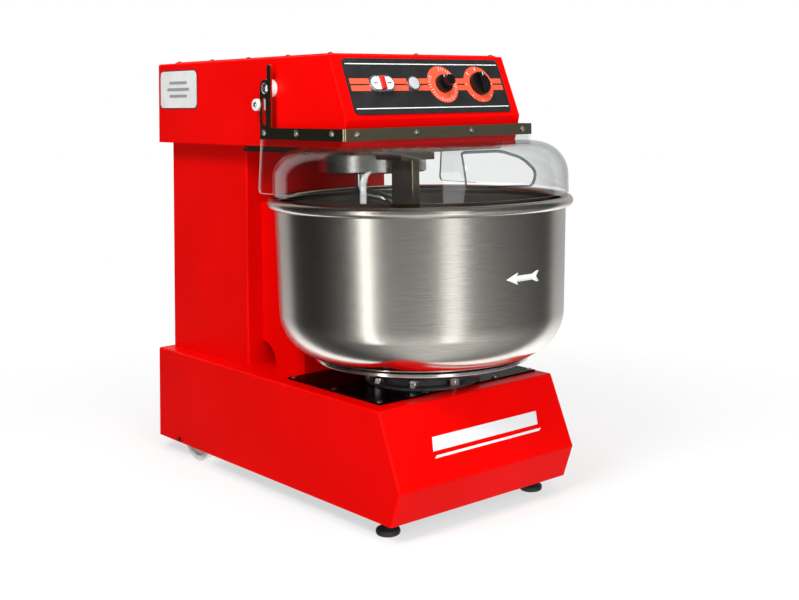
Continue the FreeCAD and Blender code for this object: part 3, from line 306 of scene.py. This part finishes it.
# Cut edges of the clear cheeks: pale, with a pink tint that is painted reflection of the red cabinet.
EDGE_WITH_PAINTED_RED_REFLECTION = moulded("clear_edge_painted_red_reflection", (0.52, 0.34, 0.34), (0.62, 0.42, 0.42), 0.25, 300, 0.05, 0.3)
NYLON = moulded("white_nylon", (0.74, 0.73, 0.70), (0.83, 0.82, 0.79), 0.42, 300, 0.12)
BLACK_PLASTIC = moulded("black_plastic", (0.002, 0.002, 0.0022), (0.005, 0.005, 0.0055), 0.32)
RUBBER = moulded("foot_rubber", (0.010, 0.010, 0.010), (0.022, 0.021, 0.020), 0.62, 500, 0.25)
WHITE_CAP = moulded("white_button", (0.74, 0.76, 0.78), (0.82, 0.84, 0.86), 0.22, 400, 0.04, 0.4)
GREY_CAP = moulded("grey_button", (0.42, 0.43, 0.45), (0.50, 0.51, 0.53), 0.22, 400, 0.04, 0.4)
RED_CAP = moulded("red_button", (0.56, 0.008, 0.006), (0.68, 0.015, 0.012), 0.22, 400, 0.04, 0.4)
GREY_PLASTIC = moulded("grey_plastic", (0.28, 0.29, 0.30), (0.36, 0.37, 0.38), 0.5)
CORAL = printed("coral_print", (0.86, 0.100, 0.044))
WHITE_PRINT = printed("white_print", (0.80, 0.81, 0.82))
BLACK_PRINT = printed("black_print", (0.015, 0.015, 0.016))
GREY_PRINT = printed("grey_print", (0.30, 0.31, 0.32))
BADGE_WHITE = moulded("badge_white", (0.72, 0.72, 0.71), (0.80, 0.80, 0.79), 0.3, 300, 0.05, 0.3)

MATERIAL_OF_SLOT = {
    "red_powder_coat": RED,
    "black_plate": BLACK_PLATE,
    "panel_black": PANEL_BLACK,
    "brushed_stainless": BOWL_STEEL,
    "dark_stainless": FLAT_STEEL,
    "machined_steel": MACHINED,
    "zinc_fastener": ZINC,
    "welded_steel": PRIMER,
    "cast_housing": CASTING,
    "motor_alloy": ALLOY,
    "belt_rubber": BELT,
    "clear_polycarbonate": CLEAR,
    "white_nylon": NYLON,
    "black_plastic": BLACK_PLASTIC,
    "foot_rubber": RUBBER,
    "white_button": WHITE_CAP,
    "red_button": RED_CAP,
    "chrome_ring": CHROME,
    "grey_plastic": GREY_PLASTIC,
}
MATERIAL_OF_NODE = {"spiral_hub": HUB_STEEL, "spiral_hook": POLISHED, "bowl_ring": POLISHED,
                    "button_start": GREY_CAP}


def dress_cad_nodes():
    """Gives every CAD node its finished material."""
    for name, piece in NODES.items():
        material = MATERIAL_OF_NODE.get(name, MATERIAL_OF_SLOT[SLOT_OF[name]])
        piece.data.materials.clear()
        piece.data.materials.append(material)


# ---- Flat prints ----

def rounded_outline(x, y, radius, steps=8):
    """Corner points of a rectangle with round corners, anticlockwise."""
    points = []
    corners = ((x[1], y[1], 0), (x[0], y[1], 90), (x[0], y[0], 180), (x[1], y[0], 270))
    for cx, cy, start in corners:
        inward_x = cx - math.copysign(radius, cx - sum(x) / 2)
        inward_y = cy - math.copysign(radius, cy - sum(y) / 2)
        for i in range(steps + 1):
            turn = math.radians(start + 90 * i / steps)
            points.append((inward_x + radius * math.cos(turn), inward_y + radius * math.sin(turn)))
    return points


def disc_outline(centre, radius, steps=64):
    return [(centre[0] + radius * math.cos(2 * math.pi * i / steps),
             centre[1] + radius * math.sin(2 * math.pi * i / steps)) for i in range(steps)]


def slab(bm, outline, z, place):
    """A flat plate of an outline between two heights, moved by a matrix."""
    rings = []
    for height in z:
        rings.append([bm.verts.new(place @ Vector((x, y, height))) for x, y in outline])
    low, high = rings
    count = len(outline)
    for i in range(count):
        after = (i + 1) % count
        bm.faces.new((low[i], low[after], high[after], high[i]))
    bm.faces.new(high)
    bm.faces.new(list(reversed(low)))


def panel_matrix():
    """The control panel's plane: X to the right, Y up the slope, Z out of the face."""
    outward = -Vector(JOINTS["timer_turn"]["axis"])
    right = Vector((1, 0, 0))
    up = outward.cross(right)
    centre = middle("control_panel")
    rotation = Matrix((right, up, outward)).transposed().to_4x4()
    return Matrix.Translation(centre) @ rotation


PANEL = panel_matrix()
PANEL_INVERSE = PANEL.inverted()
PANEL_FACE = max((PANEL_INVERSE @ vertex.co).z for vertex in NODES["control_panel"].data.vertices)
INK = 0.25 * MM


def on_panel(joint):
    """Where a control's axis meets the panel, in the panel's plane."""
    return PANEL_INVERSE @ Vector(JOINTS[joint]["pos_m"])


def node_on_panel(node):
    return PANEL_INVERSE @ middle(node)


PANEL_HALF_X = size("control_panel").x / 2
PANEL_HALF_Y = max((PANEL_INVERSE @ v.co).y for v in NODES["control_panel"].data.vertices)
BAND_Y = on_panel("timer_turn").y


def panel_print(name, outlines, material, lift=1):
    bm = bmesh.new()
    heights = (PANEL_FACE + INK * (lift - 1), PANEL_FACE + INK * lift)
    for outline in outlines:
        slab(bm, outline, heights, PANEL)
    return mesh_piece(name, bm, "cabinet", material)


def bar_outline(centre, length, width, degrees):
    """A short straight mark, turned about its centre."""
    turn = math.radians(degrees)
    along = Vector((math.cos(turn), math.sin(turn))) * length / 2
    across = Vector((-math.sin(turn), math.cos(turn))) * width / 2
    middle_point = Vector(centre)
    corners = (middle_point - along - across, middle_point + along - across,
               middle_point + along + across, middle_point - along + across)
    return [(corner.x, corner.y) for corner in corners]


def panel_bands():
    """Two coral bands that run behind the controls, and two thin white lines."""
    edge = PANEL_HALF_X - 5.0 * MM
    gap = 1.4 * MM
    width = 10.0 * MM
    bands = []
    for side in (-1, 1):
        near = BAND_Y + side * gap
        far = BAND_Y + side * (gap + width)
        bands.append(rounded_outline((-edge, edge), sorted((near, far)), 0.5 * MM, 2))
    panel_print("panel_coral_bands", bands, CORAL)
    lines = []
    for y in (-PANEL_HALF_Y + 10.5 * MM, PANEL_HALF_Y - 10.5 * MM):
        lines.append(rounded_outline((-edge, edge), (y - 0.9 * MM, y + 0.9 * MM), 0.3 * MM, 2))
    panel_print("panel_white_lines", lines, WHITE_PRINT)


def dial_print(name, joint, marks, ticks):
    """A coral disc with white marks round a knob."""
    centre = on_panel(joint)
    radius = 35.0 * MM
    panel_print(name + "_disc", [disc_outline(centre, radius)], CORAL, 2)
    outlines = []
    for degrees, length, width in marks + ticks:
        turn = math.radians(90 - degrees)
        away = radius - 2.5 * MM - length / 2
        spot = (centre.x + away * math.cos(turn), centre.y + away * math.sin(turn))
        outlines.append(bar_outline(spot, length, width, 90 - degrees))
    panel_print(name + "_marks", outlines, WHITE_PRINT, 3)


def dials():
    """Timer scale over 300 degrees, and the selector's three positions."""
    fine = [(10 * i, 5.0 * MM, 0.7 * MM) for i in range(31)]
    long = [(50 * i, 7.0 * MM, 1.1 * MM) for i in range(7)]
    dial_print("timer_dial", "timer_turn", long, fine)
    places = [(degrees, 6.5 * MM, 1.6 * MM) for degrees in (-45, 0, 45)]
    dots = [(degrees, 2.6 * MM, 1.6 * MM) for degrees in (-90, 90, 135, 180, -135)]
    dial_print("selector_dial", "selector_turn", places, dots)


def pointer(name, joint, body, start, length, width, height):
    """A white line on a knob that points to the scale."""
    bm = bmesh.new()
    centre = on_panel(joint)
    spot = (centre.x, centre.y + start + length / 2)
    slab(bm, bar_outline(spot, length, width, 90), (height, height + INK), PANEL)
    mesh_piece(name, bm, body, WHITE_PRINT)


def knob_details():
    skirt_top = PANEL_FACE + 9.5 * MM
    pointer("timer_pointer", "timer_turn", "timer_knob", 10.3 * MM, 4.6 * MM, 1.8 * MM, skirt_top)
    top = max((PANEL_INVERSE @ v.co).z for v in NODES["selector_knob"].data.vertices)
    pointer("selector_pointer", "selector_turn", "selector_knob", 10.5 * MM, 6.5 * MM, 1.8 * MM, top)


def arrow_outline(tip, tail, half_head, half_shaft, head):
    """A plain straight arrow from tail to tip along X."""
    way = math.copysign(1, tip - tail)
    neck = tip - way * head
    return [(tip, 0), (neck, half_head), (neck, half_shaft), (tail, half_shaft),
            (tail, -half_shaft), (neck, -half_shaft), (neck, -half_head)]


def button_arrows():
    """Small black arrows on the two white caps."""
    for side, node in ((-1, "button_left"), (1, "button_right")):
        centre = node_on_panel(node)
        top = max((PANEL_INVERSE @ v.co).z for v in NODES[node].data.vertices)
        outline = arrow_outline(side * 4.6 * MM, -side * 4.6 * MM, 2.0 * MM, 0.8 * MM, 3.4 * MM)
        place = PANEL @ Matrix.Translation((centre.x, BAND_Y, 0))
        bm = bmesh.new()
        slab(bm, outline, (top, top + INK), place)
        mesh_piece(node + "_arrow", bm, node, BLACK_PRINT)


# ---- Stickers and badges ----

def on_bowl(along, height, lift):
    """A point just off the bowl's wall, at an arc length from the front."""
    axis = Vector((0, BOWL_AXIS_Y, height))
    turn = along / (size("bowl").x / 2)
    outward = Vector((math.sin(turn), -math.cos(turn), 0))
    spot = NODES["bowl"].ray_cast(axis + outward, -outward)[1]
    return spot + outward * lift


def bowl_arrow():
    """The turning-direction arrow, wrapped round the front of the bowl."""
    low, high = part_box("bowl")
    height = low.z + 0.56 * (high.z - low.z)
    half, shaft, head, tail = (value * MM for value in (40.0, 4.7, 10.0, 9.0))
    lower = [(-half + 26 * MM, -head), (-half + 23.5 * MM, -shaft), (half - 19 * MM, -shaft),
             (half - 7 * MM, -tail), (half, -tail)]
    upper = [(x, -y) for x, y in reversed(lower)]
    outline = [(-half, 0)] + lower + [(half - 8 * MM, 0)] + upper
    bm = bmesh.new()
    bm.faces.new([bm.verts.new((x, y, 0)) for x, y in outline])
    for i in range(1, 20):
        everything = bm.verts[:] + bm.edges[:] + bm.faces[:]
        x = -half + 2 * half * i / 20
        bmesh.ops.bisect_plane(bm, geom=everything, plane_co=(x, 0, 0), plane_no=(1, 0, 0))
    for vertex in bm.verts:
        vertex.co = on_bowl(vertex.co.x, height + vertex.co.y, 0.2 * MM)
    arrow = mesh_piece("direction_arrow", bm, "bowl", WHITE_PRINT, 30)
    modifier(arrow, "SOLIDIFY", thickness=0.2 * MM, offset=0)


def head_badge():
    """A plain badge on the left of the head: white plate, dark edge, three grey bars."""
    side_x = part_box("head_shell")[0].x
    place = Matrix(((0, 0, -1, side_x), (1, 0, 0, 0), (0, 1, 0, 0), (0, 0, 0, 1)))
    y = (0.247, 0.389)
    z = (0.685, 0.761)

    def layer(name, outlines, heights, material):
        bm = bmesh.new()
        for outline in outlines:
            slab(bm, outline, heights, place)
        piece = mesh_piece(name, bm, "cabinet", material, 30)
        modifier(piece, "BEVEL", width=0.15 * MM, segments=2, limit_method="ANGLE")

    def plate(inset):
        return rounded_outline((y[0] + inset, y[1] - inset), (z[0] + inset, z[1] - inset),
                               12 * MM - inset)

    layer("badge_edge", [plate(0.0)], (0, 1.0 * MM), BLACK_PRINT)
    layer("badge_face", [plate(1.8 * MM)], (1.0 * MM, 1.4 * MM), BADGE_WHITE)
    bars = []
    for row, margin in enumerate((0.26, 0.20, 0.26)):
        low = z[0] + (22 + 13 * row) * MM
        inset = margin * (y[1] - y[0])
        bars.append(rounded_outline((y[0] + inset, y[1] - inset), (low, low + 6 * MM), 2.9 * MM, 4))
    layer("badge_bars", bars, (1.4 * MM, 1.6 * MM), GREY_PRINT)


# ---- Clear guard ----

DOME_RADIUS = BOWL_AXIS_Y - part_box("guard_dome")[0].y
DOME_TOP = 0.6215
DOME_ROUND = 57 * MM
CHEEK_REAR_TOP = 8 * MM     # Y of the cheek's rear edge, at its top and at its foot
CHEEK_REAR_FOOT = 19.5 * MM
CHEEK_FRONT = -85 * MM      # Y where the foot of the cheek runs into the dome
CHEEK_CORNER = 11 * MM
CHEEK_SHEET = 3 * MM
FEED_AZIMUTH = math.radians(-100)
FEED_REACH, FEED_HEIGHT = 0.248, 0.588
FEED_OUTLINE = [(-68, -24), (-8, -30), (60, -27), (70, -9), (46, 12.5), (11, 27.5), (-60, 32)]


def dome_section(spot):
    """How far a place is out from, and up from, the middle of the dome's shoulder round."""
    out = math.hypot(spot.x, spot.y - BOWL_AXIS_Y) - (DOME_RADIUS - DOME_ROUND)
    return max(out, 0.0), max(spot.z - (DOME_TOP - DOME_ROUND), 0.0)


def dome_normal(spot):
    out, up = dome_section(spot)
    radial = Vector((spot.x, spot.y - BOWL_AXIS_Y, 0)).normalized()
    return (radial * out + Vector((0, 0, up))).normalized()


def feed_edge():
    """The edge of the feed opening: its outline, with eased corners, laid on the dome."""
    reach = Vector((FEED_REACH * math.cos(FEED_AZIMUTH), FEED_REACH * math.sin(FEED_AZIMUTH), FEED_HEIGHT))
    place = (Matrix.Translation(reach + Vector((0, BOWL_AXIS_Y, 0)))
             @ Matrix.Rotation(FEED_AZIMUTH + math.pi / 2, 4, "Z") @ Matrix.Rotation(math.pi / 4, 4, "X"))
    inward = -(place.to_3x3() @ Vector((0, 0, 1)))
    corners = [Vector((x * MM, y * MM, 60 * MM)) for x, y in FEED_OUTLINE]
    ease = 9 * MM
    points = []
    for i, here in enumerate(corners):
        into = here + (corners[i - 1] - here).normalized() * ease
        out = here + (corners[(i + 1) % len(corners)] - here).normalized() * ease
        for k in range(7):
            t = k / 6
            spot = place @ ((1 - t) ** 2 * into + 2 * t * (1 - t) * here + t * t * out)
            for step in range(60):
                spot = spot + inward * (math.hypot(*dome_section(spot)) - DOME_ROUND)
            points.append(spot)
    return points


def feed_lip():
    """The raised, rounded lip formed round the feed opening, in a clear sheet darkened with painted shade."""
    edge = feed_edge()
    centre = sum(edge, Vector()) / len(edge)
    profile = [(-0.4, -3.2), (-0.6, 0.4), (-0.2, 1.3), (0.7, 1.7), (1.6, 1.4), (2.3, 0.4), (2.4, -0.4),
               (1.4, -0.5), (0.4, -3.2)]
    bm = bmesh.new()
    rings = []
    for i, point in enumerate(edge):
        along = (edge[(i + 1) % len(edge)] - edge[i - 1]).normalized()
        normal = dome_normal(point)
        outward = along.cross(normal).normalized()
        if outward.dot(point - centre) < 0:
            outward = -outward
        rings.append([bm.verts.new(point + (outward * out + normal * up) * MM) for out, up in profile])
    for a, b in zip(rings, rings[1:] + rings[:1]):
        for k in range(len(profile)):
            after = (k + 1) % len(profile)
            bm.faces.new((a[k], b[k], b[after], a[after]))
    mesh_piece("feed_lip", bm, "guard", LIP_WITH_PAINTED_SHADE, 50)


def cheek_edge_path():
    """The outline of a clear cheek, seen from the side: down the rear, round the corner, along the foot."""
    low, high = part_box("guard_dome")
    rear_top = Vector((0, CHEEK_REAR_TOP, high.z))
    rear_foot = Vector((0, CHEEK_REAR_FOOT, low.z))
    front_foot = Vector((0, CHEEK_FRONT, low.z))
    upper = rear_foot + (rear_top - rear_foot).normalized() * CHEEK_CORNER
    lower = rear_foot + Vector((0, -CHEEK_CORNER, 0))
    path = [rear_top]
    for k in range(9):
        t = k / 8
        path.append((1 - t) ** 2 * upper + 2 * t * (1 - t) * rear_foot + t * t * lower)
    path.append(front_foot)
    return path


def cheek_edges():
    """The pale cut edges of the two clear cheeks, laid along the sheets' rims; their pink tint is painted
    reflection of the red cabinet.
    """
    path = cheek_edge_path()
    outer = size("guard_frame").x / 2 - CHEEK_SHEET
    corners = ((0.2 * MM, -0.2 * MM), (0.2 * MM, 0.7 * MM),
               (-CHEEK_SHEET, 0.7 * MM), (-CHEEK_SHEET, -0.2 * MM))
    bm = bmesh.new()
    for side in (-1, 1):
        rings = []
        for i, point in enumerate(path):
            along = (path[min(i + 1, len(path) - 1)] - path[max(i - 1, 0)]).normalized()
            out = Vector((side, 0, 0))
            inward = along.cross(Vector((1, 0, 0)))
            rings.append([bm.verts.new(point + out * (outer + x) + inward * depth) for x, depth in corners])
        for a, b in zip(rings, rings[1:]):
            for k in range(4):
                after = (k + 1) % 4
                bm.faces.new((a[k], b[k], b[after], a[after]))
        bm.faces.new(rings[0])
        bm.faces.new(reversed(rings[-1]))
    mesh_piece("cheek_edges", bm, "guard", EDGE_WITH_PAINTED_RED_REFLECTION, 40)


# ---- Cabinet details ----

BASE_NOSE_Z = 0.086                 # height of the fold at the front of the base
BASE_FRONT_TOP = (-0.2885, 0.2045)  # Y, Z where the sloping front meets the top
STRIPE_X = (-112 * MM, 130 * MM)
STRIPE_LEAN = 5 * MM
STRIPE_T = 0.3 * MM
STRIPE_BANDS = ((50 * MM, 72 * MM), (39 * MM, 43 * MM))  # distances up the slope from the fold


def base_stripe():
    """A plain two-line stripe on the front of the base, where a name would be."""
    nose = Vector((0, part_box("base_shell")[0].y, BASE_NOSE_Z))
    top = Vector((0, *BASE_FRONT_TOP))
    up = (top - nose).normalized()
    right = Vector((1, 0, 0))
    outward = right.cross(up)
    place = Matrix((right, up, outward)).transposed().to_4x4()
    place = Matrix.Translation(nose) @ place
    bm = bmesh.new()
    x0, x1 = STRIPE_X
    for start, end in STRIPE_BANDS:
        outline = [(x0, start), (x1, start), (x1 + STRIPE_LEAN, end), (x0 + STRIPE_LEAN, end)]
        slab(bm, outline, (0.0, STRIPE_T), place)
    mesh_piece("base_front_stripe", bm, "cabinet", WHITE_PRINT)


def base_edge_screws():
    """The two black screws that hold the floor pan, low on each side."""
    low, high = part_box("base_shell")
    bm = bmesh.new()
    for side in (-1, 1):
        x = low.x if side < 0 else high.x
        for turn in range(2):
            radius = (4.5 - 1.2 * turn) * MM
            outline = disc_outline((0, 0), radius, 24)
            rotation = Matrix.Rotation(math.radians(90 * side), 4, "Y")
            place = Matrix.Translation((x, 0.333, low.z + 6 * MM)) @ rotation
            slab(bm, outline, (1.2 * turn * MM, 1.2 * (turn + 1) * MM), place)
    mesh_piece("base_edge_screws", bm, "cabinet", BLACK_PLASTIC, 30)


# ---- Studio ----

# What surrounds the machine, as (azimuth in degrees, brightness): a white backdrop behind it,
# a dark gap, then grey on either side of the lamps.
STUDIO_WALLS = [(-180, 0.09), (-160, 0.22), (-125, 0.30), (-95, 0.30), (-60, 0.17), (-40, 0.13), (-20, 0.07),
                (-8, 0.08), (-3, 0.62), (104, 0.62), (107, 0.03), (145, 0.02), (180, 0.09)]
FLOOR_GAIN = 3.2                     # how much brighter the ground is than the wall above it
WALL_TOP = 0.72                      # sine of the elevation where the walls end
CEILING_SIDE = (0.90, -0.40, 0.02)   # the ceiling is pale on this side of the machine, dark on the other
CEILING = [(0.0, 0.10), (0.49, 0.10), (0.495, 0.9), (0.51, 0.9), (0.515, 0.30), (1.0, 0.30)]


def studio_floor():
    """A pale floor that only the camera sees; the machine is lit and mirrored by the ground beyond it."""
    bm = bmesh.new()
    bmesh.ops.create_grid(bm, x_segments=2, y_segments=2, size=30)
    mesh = bpy.data.meshes.new("studio_floor")
    bm.to_mesh(mesh)
    bm.free()
    floor = bpy.data.objects.new("studio_floor", mesh)
    bpy.context.scene.collection.objects.link(floor)
    shader = Shader("studio_floor")
    shader.set(Base_Color=(0.95, 0.95, 0.95, 1), Roughness=0.8)
    place = shader.node("ShaderNodeTexCoord")
    away = shader.node("ShaderNodeVectorMath", operation="LENGTH")
    shader.link(place, "Object", away, 0)

    spread = shader.node("ShaderNodeMapRange")
    spread.inputs["From Min"].default_value = 0.45
    spread.inputs["From Max"].default_value = 1.3
    spread.inputs["To Min"].default_value = 0.6
    shader.link(away, "Value", spread, "Value")
    glow = shader.node("ShaderNodeEmission")
    glow.inputs["Color"].default_value = (1, 1, 1, 1)
    pale = shader.node("ShaderNodeMixShader")
    shader.link(spread, 0, pale, "Fac")
    shader.link(shader.bsdf, 0, pale, 1)
    shader.link(glow, 0, pale, 2)
    path = shader.node("ShaderNodeLightPath")
    nothing = shader.node("ShaderNodeBsdfTransparent")
    mix = shader.node("ShaderNodeMixShader")
    shader.link(path, "Is Camera Ray", mix, "Fac")
    shader.link(nothing, 0, mix, 1)
    shader.link(pale, 0, mix, 2)
    shader.link(mix, 0, shader.output, "Surface")
    mesh.materials.append(shader.material)


def studio_world():
    """White to the camera; in reflections, walls whose brightness changes round the machine."""
    world = bpy.data.worlds.new("studio")
    bpy.context.scene.world = world
    world.use_nodes = True
    tree = world.node_tree
    tree.nodes.clear()

    def node(kind, **settings):
        made = tree.nodes.new(kind)
        for key, value in settings.items():
            setattr(made, key, value)
        return made

    def grey_ramp(stops):
        ramp = node("ShaderNodeValToRGB")
        elements = ramp.color_ramp.elements
        while len(elements) < len(stops):
            elements.new(0.5)
        for element, (position, brightness) in zip(elements, stops):
            element.position = position
            element.color = (brightness, brightness, brightness, 1)
        return ramp

    direction = node("ShaderNodeTexCoord")
    split = node("ShaderNodeSeparateXYZ")
    tree.links.new(direction.outputs["Generated"], split.inputs[0])
    azimuth = node("ShaderNodeMath", operation="ARCTAN2")
    tree.links.new(split.outputs["Y"], azimuth.inputs[0])
    tree.links.new(split.outputs["X"], azimuth.inputs[1])
    turn = node("ShaderNodeMapRange")
    turn.inputs["From Min"].default_value = -math.pi
    turn.inputs["From Max"].default_value = math.pi
    tree.links.new(azimuth.outputs[0], turn.inputs["Value"])
    walls = grey_ramp([((degrees + 180) / 360, brightness) for degrees, brightness in STUDIO_WALLS])
    tree.links.new(turn.outputs[0], walls.inputs[0])
    height = node("ShaderNodeMapRange", interpolation_type="SMOOTHSTEP")
    height.inputs["From Min"].default_value = WALL_TOP - 0.02
    height.inputs["From Max"].default_value = WALL_TOP + 0.02
    tree.links.new(split.outputs["Z"], height.inputs["Value"])
    side = node("ShaderNodeVectorMath", operation="DOT_PRODUCT")
    side.inputs[1].default_value = CEILING_SIDE
    tree.links.new(direction.outputs["Generated"], side.inputs[0])
    across = node("ShaderNodeMapRange")
    across.inputs["From Min"].default_value = -1.0
    tree.links.new(side.outputs["Value"], across.inputs["Value"])
    ceiling = grey_ramp(CEILING)
    tree.links.new(across.outputs[0], ceiling.inputs[0])
    sky = node("ShaderNodeMixRGB")
    tree.links.new(height.outputs[0], sky.inputs[0])
    tree.links.new(walls.outputs[0], sky.inputs[1])
    tree.links.new(ceiling.outputs[0], sky.inputs[2])
    low = node("ShaderNodeMapRange")
    low.inputs["From Min"].default_value = -0.15
    low.inputs["From Max"].default_value = -0.55
    low.inputs["To Min"].default_value = 1.0
    low.inputs["To Max"].default_value = FLOOR_GAIN
    tree.links.new(split.outputs["Z"], low.inputs["Value"])
    around = node("ShaderNodeBackground")
    tree.links.new(sky.outputs[0], around.inputs["Color"])
    tree.links.new(low.outputs[0], around.inputs["Strength"])
    white = node("ShaderNodeBackground")
    white.inputs["Color"].default_value = (1, 1, 1, 1)
    path = node("ShaderNodeLightPath")
    mix = node("ShaderNodeMixShader")
    output = node("ShaderNodeOutputWorld")
    tree.links.new(path.outputs["Is Camera Ray"], mix.inputs[0])
    tree.links.new(around.outputs[0], mix.inputs[1])
    tree.links.new(white.outputs[0], mix.inputs[2])
    tree.links.new(mix.outputs[0], output.inputs["Surface"])


def softbox(name, azimuth, distance, height, width, tall, power, aim=(0, -0.1, 0.4), mirrored=True):
    """A rectangular lamp at an angle round the machine, turned towards it; a fill lamp is not mirrored."""
    lamp = bpy.data.lights.new(name, "AREA")
    lamp.shape = "RECTANGLE"
    lamp.size = width
    lamp.size_y = tall
    lamp.energy = power
    thing = bpy.data.objects.new(name, lamp)
    thing.visible_glossy = mirrored
    bpy.context.scene.collection.objects.link(thing)
    turn = math.radians(azimuth)
    target = Vector(aim)
    thing.location = (target.x + distance * math.cos(turn), target.y + distance * math.sin(turn), height)
    thing.rotation_euler = (target - thing.location).to_track_quat("-Z", "Y").to_euler()


def studio_lights():
    softbox("left_softbox", 190, 2.6, 0.35, 0.20, 4.0, 19)
    softbox("front_softbox", 253, 2.8, 0.35, 0.70, 4.0, 15)
    softbox("front_fill", 256, 2.6, 1.0, 1.0, 2.0, 46, mirrored=False)
    softbox("side_fill", 203, 2.2, 2.4, 0.9, 0.9, 66, mirrored=False)
    softbox("top_fill", 240, 0.4, 3.2, 1.6, 1.6, 40, mirrored=False)


def shift_lens_at_home(thing, channel, amount):
    """Shifts the lens only at the height where the camera was put, so that other views stay centred."""
    home = thing.location.z
    curve = thing.data.driver_add(channel)
    curve.modifiers.remove(curve.modifiers[0])
    curve.driver.type = "AVERAGE"
    height = curve.driver.variables.new()
    height.name = "height"
    height.type = "TRANSFORMS"
    height.targets[0].id = thing
    height.targets[0].transform_type = "LOC_Z"
    steps = ((-1.0 * MM, 0.0), (-0.5 * MM, amount), (0.5 * MM, amount), (1.0 * MM, 0.0))
    curve.keyframe_points.add(len(steps))
    for key, (away, shift) in zip(curve.keyframe_points, steps):
        key.co = (home + away, shift)
        key.interpolation = "LINEAR"


def studio_camera():
    """Stands front left of the machine at chest height, looking level."""
    camera = bpy.data.cameras.new("camera")
    camera.sensor_width = 36.0
    camera.lens = 54.75
    camera.clip_start = 0.05
    thing = bpy.data.objects.new("camera", camera)
    bpy.context.scene.collection.objects.link(thing)
    yaw = math.radians(-40.03)
    pitch = math.radians(90 + 1.42)
    roll = math.radians(-0.77)
    turned = (Matrix.Rotation(yaw, 4, "Z") @ Matrix.Rotation(pitch, 4, "X")
              @ Matrix.Rotation(roll, 4, "Z"))
    thing.matrix_world = Matrix.Translation((-1.4167, -1.7892, 0.6983)) @ turned
    shift_lens_at_home(thing, "shift_x", 0.0057)
    shift_lens_at_home(thing, "shift_y", -0.289)
    bpy.context.scene.camera = thing
    bpy.context.scene.view_settings.view_transform = "Standard"


# ---- Build ----

dress_cad_nodes()
panel_bands()
dials()
knob_details()
button_arrows()
bowl_arrow()
head_badge()
feed_lip()
cheek_edges()
base_stripe()
base_edge_screws()
studio_floor()
studio_world()
studio_lights()
studio_camera()
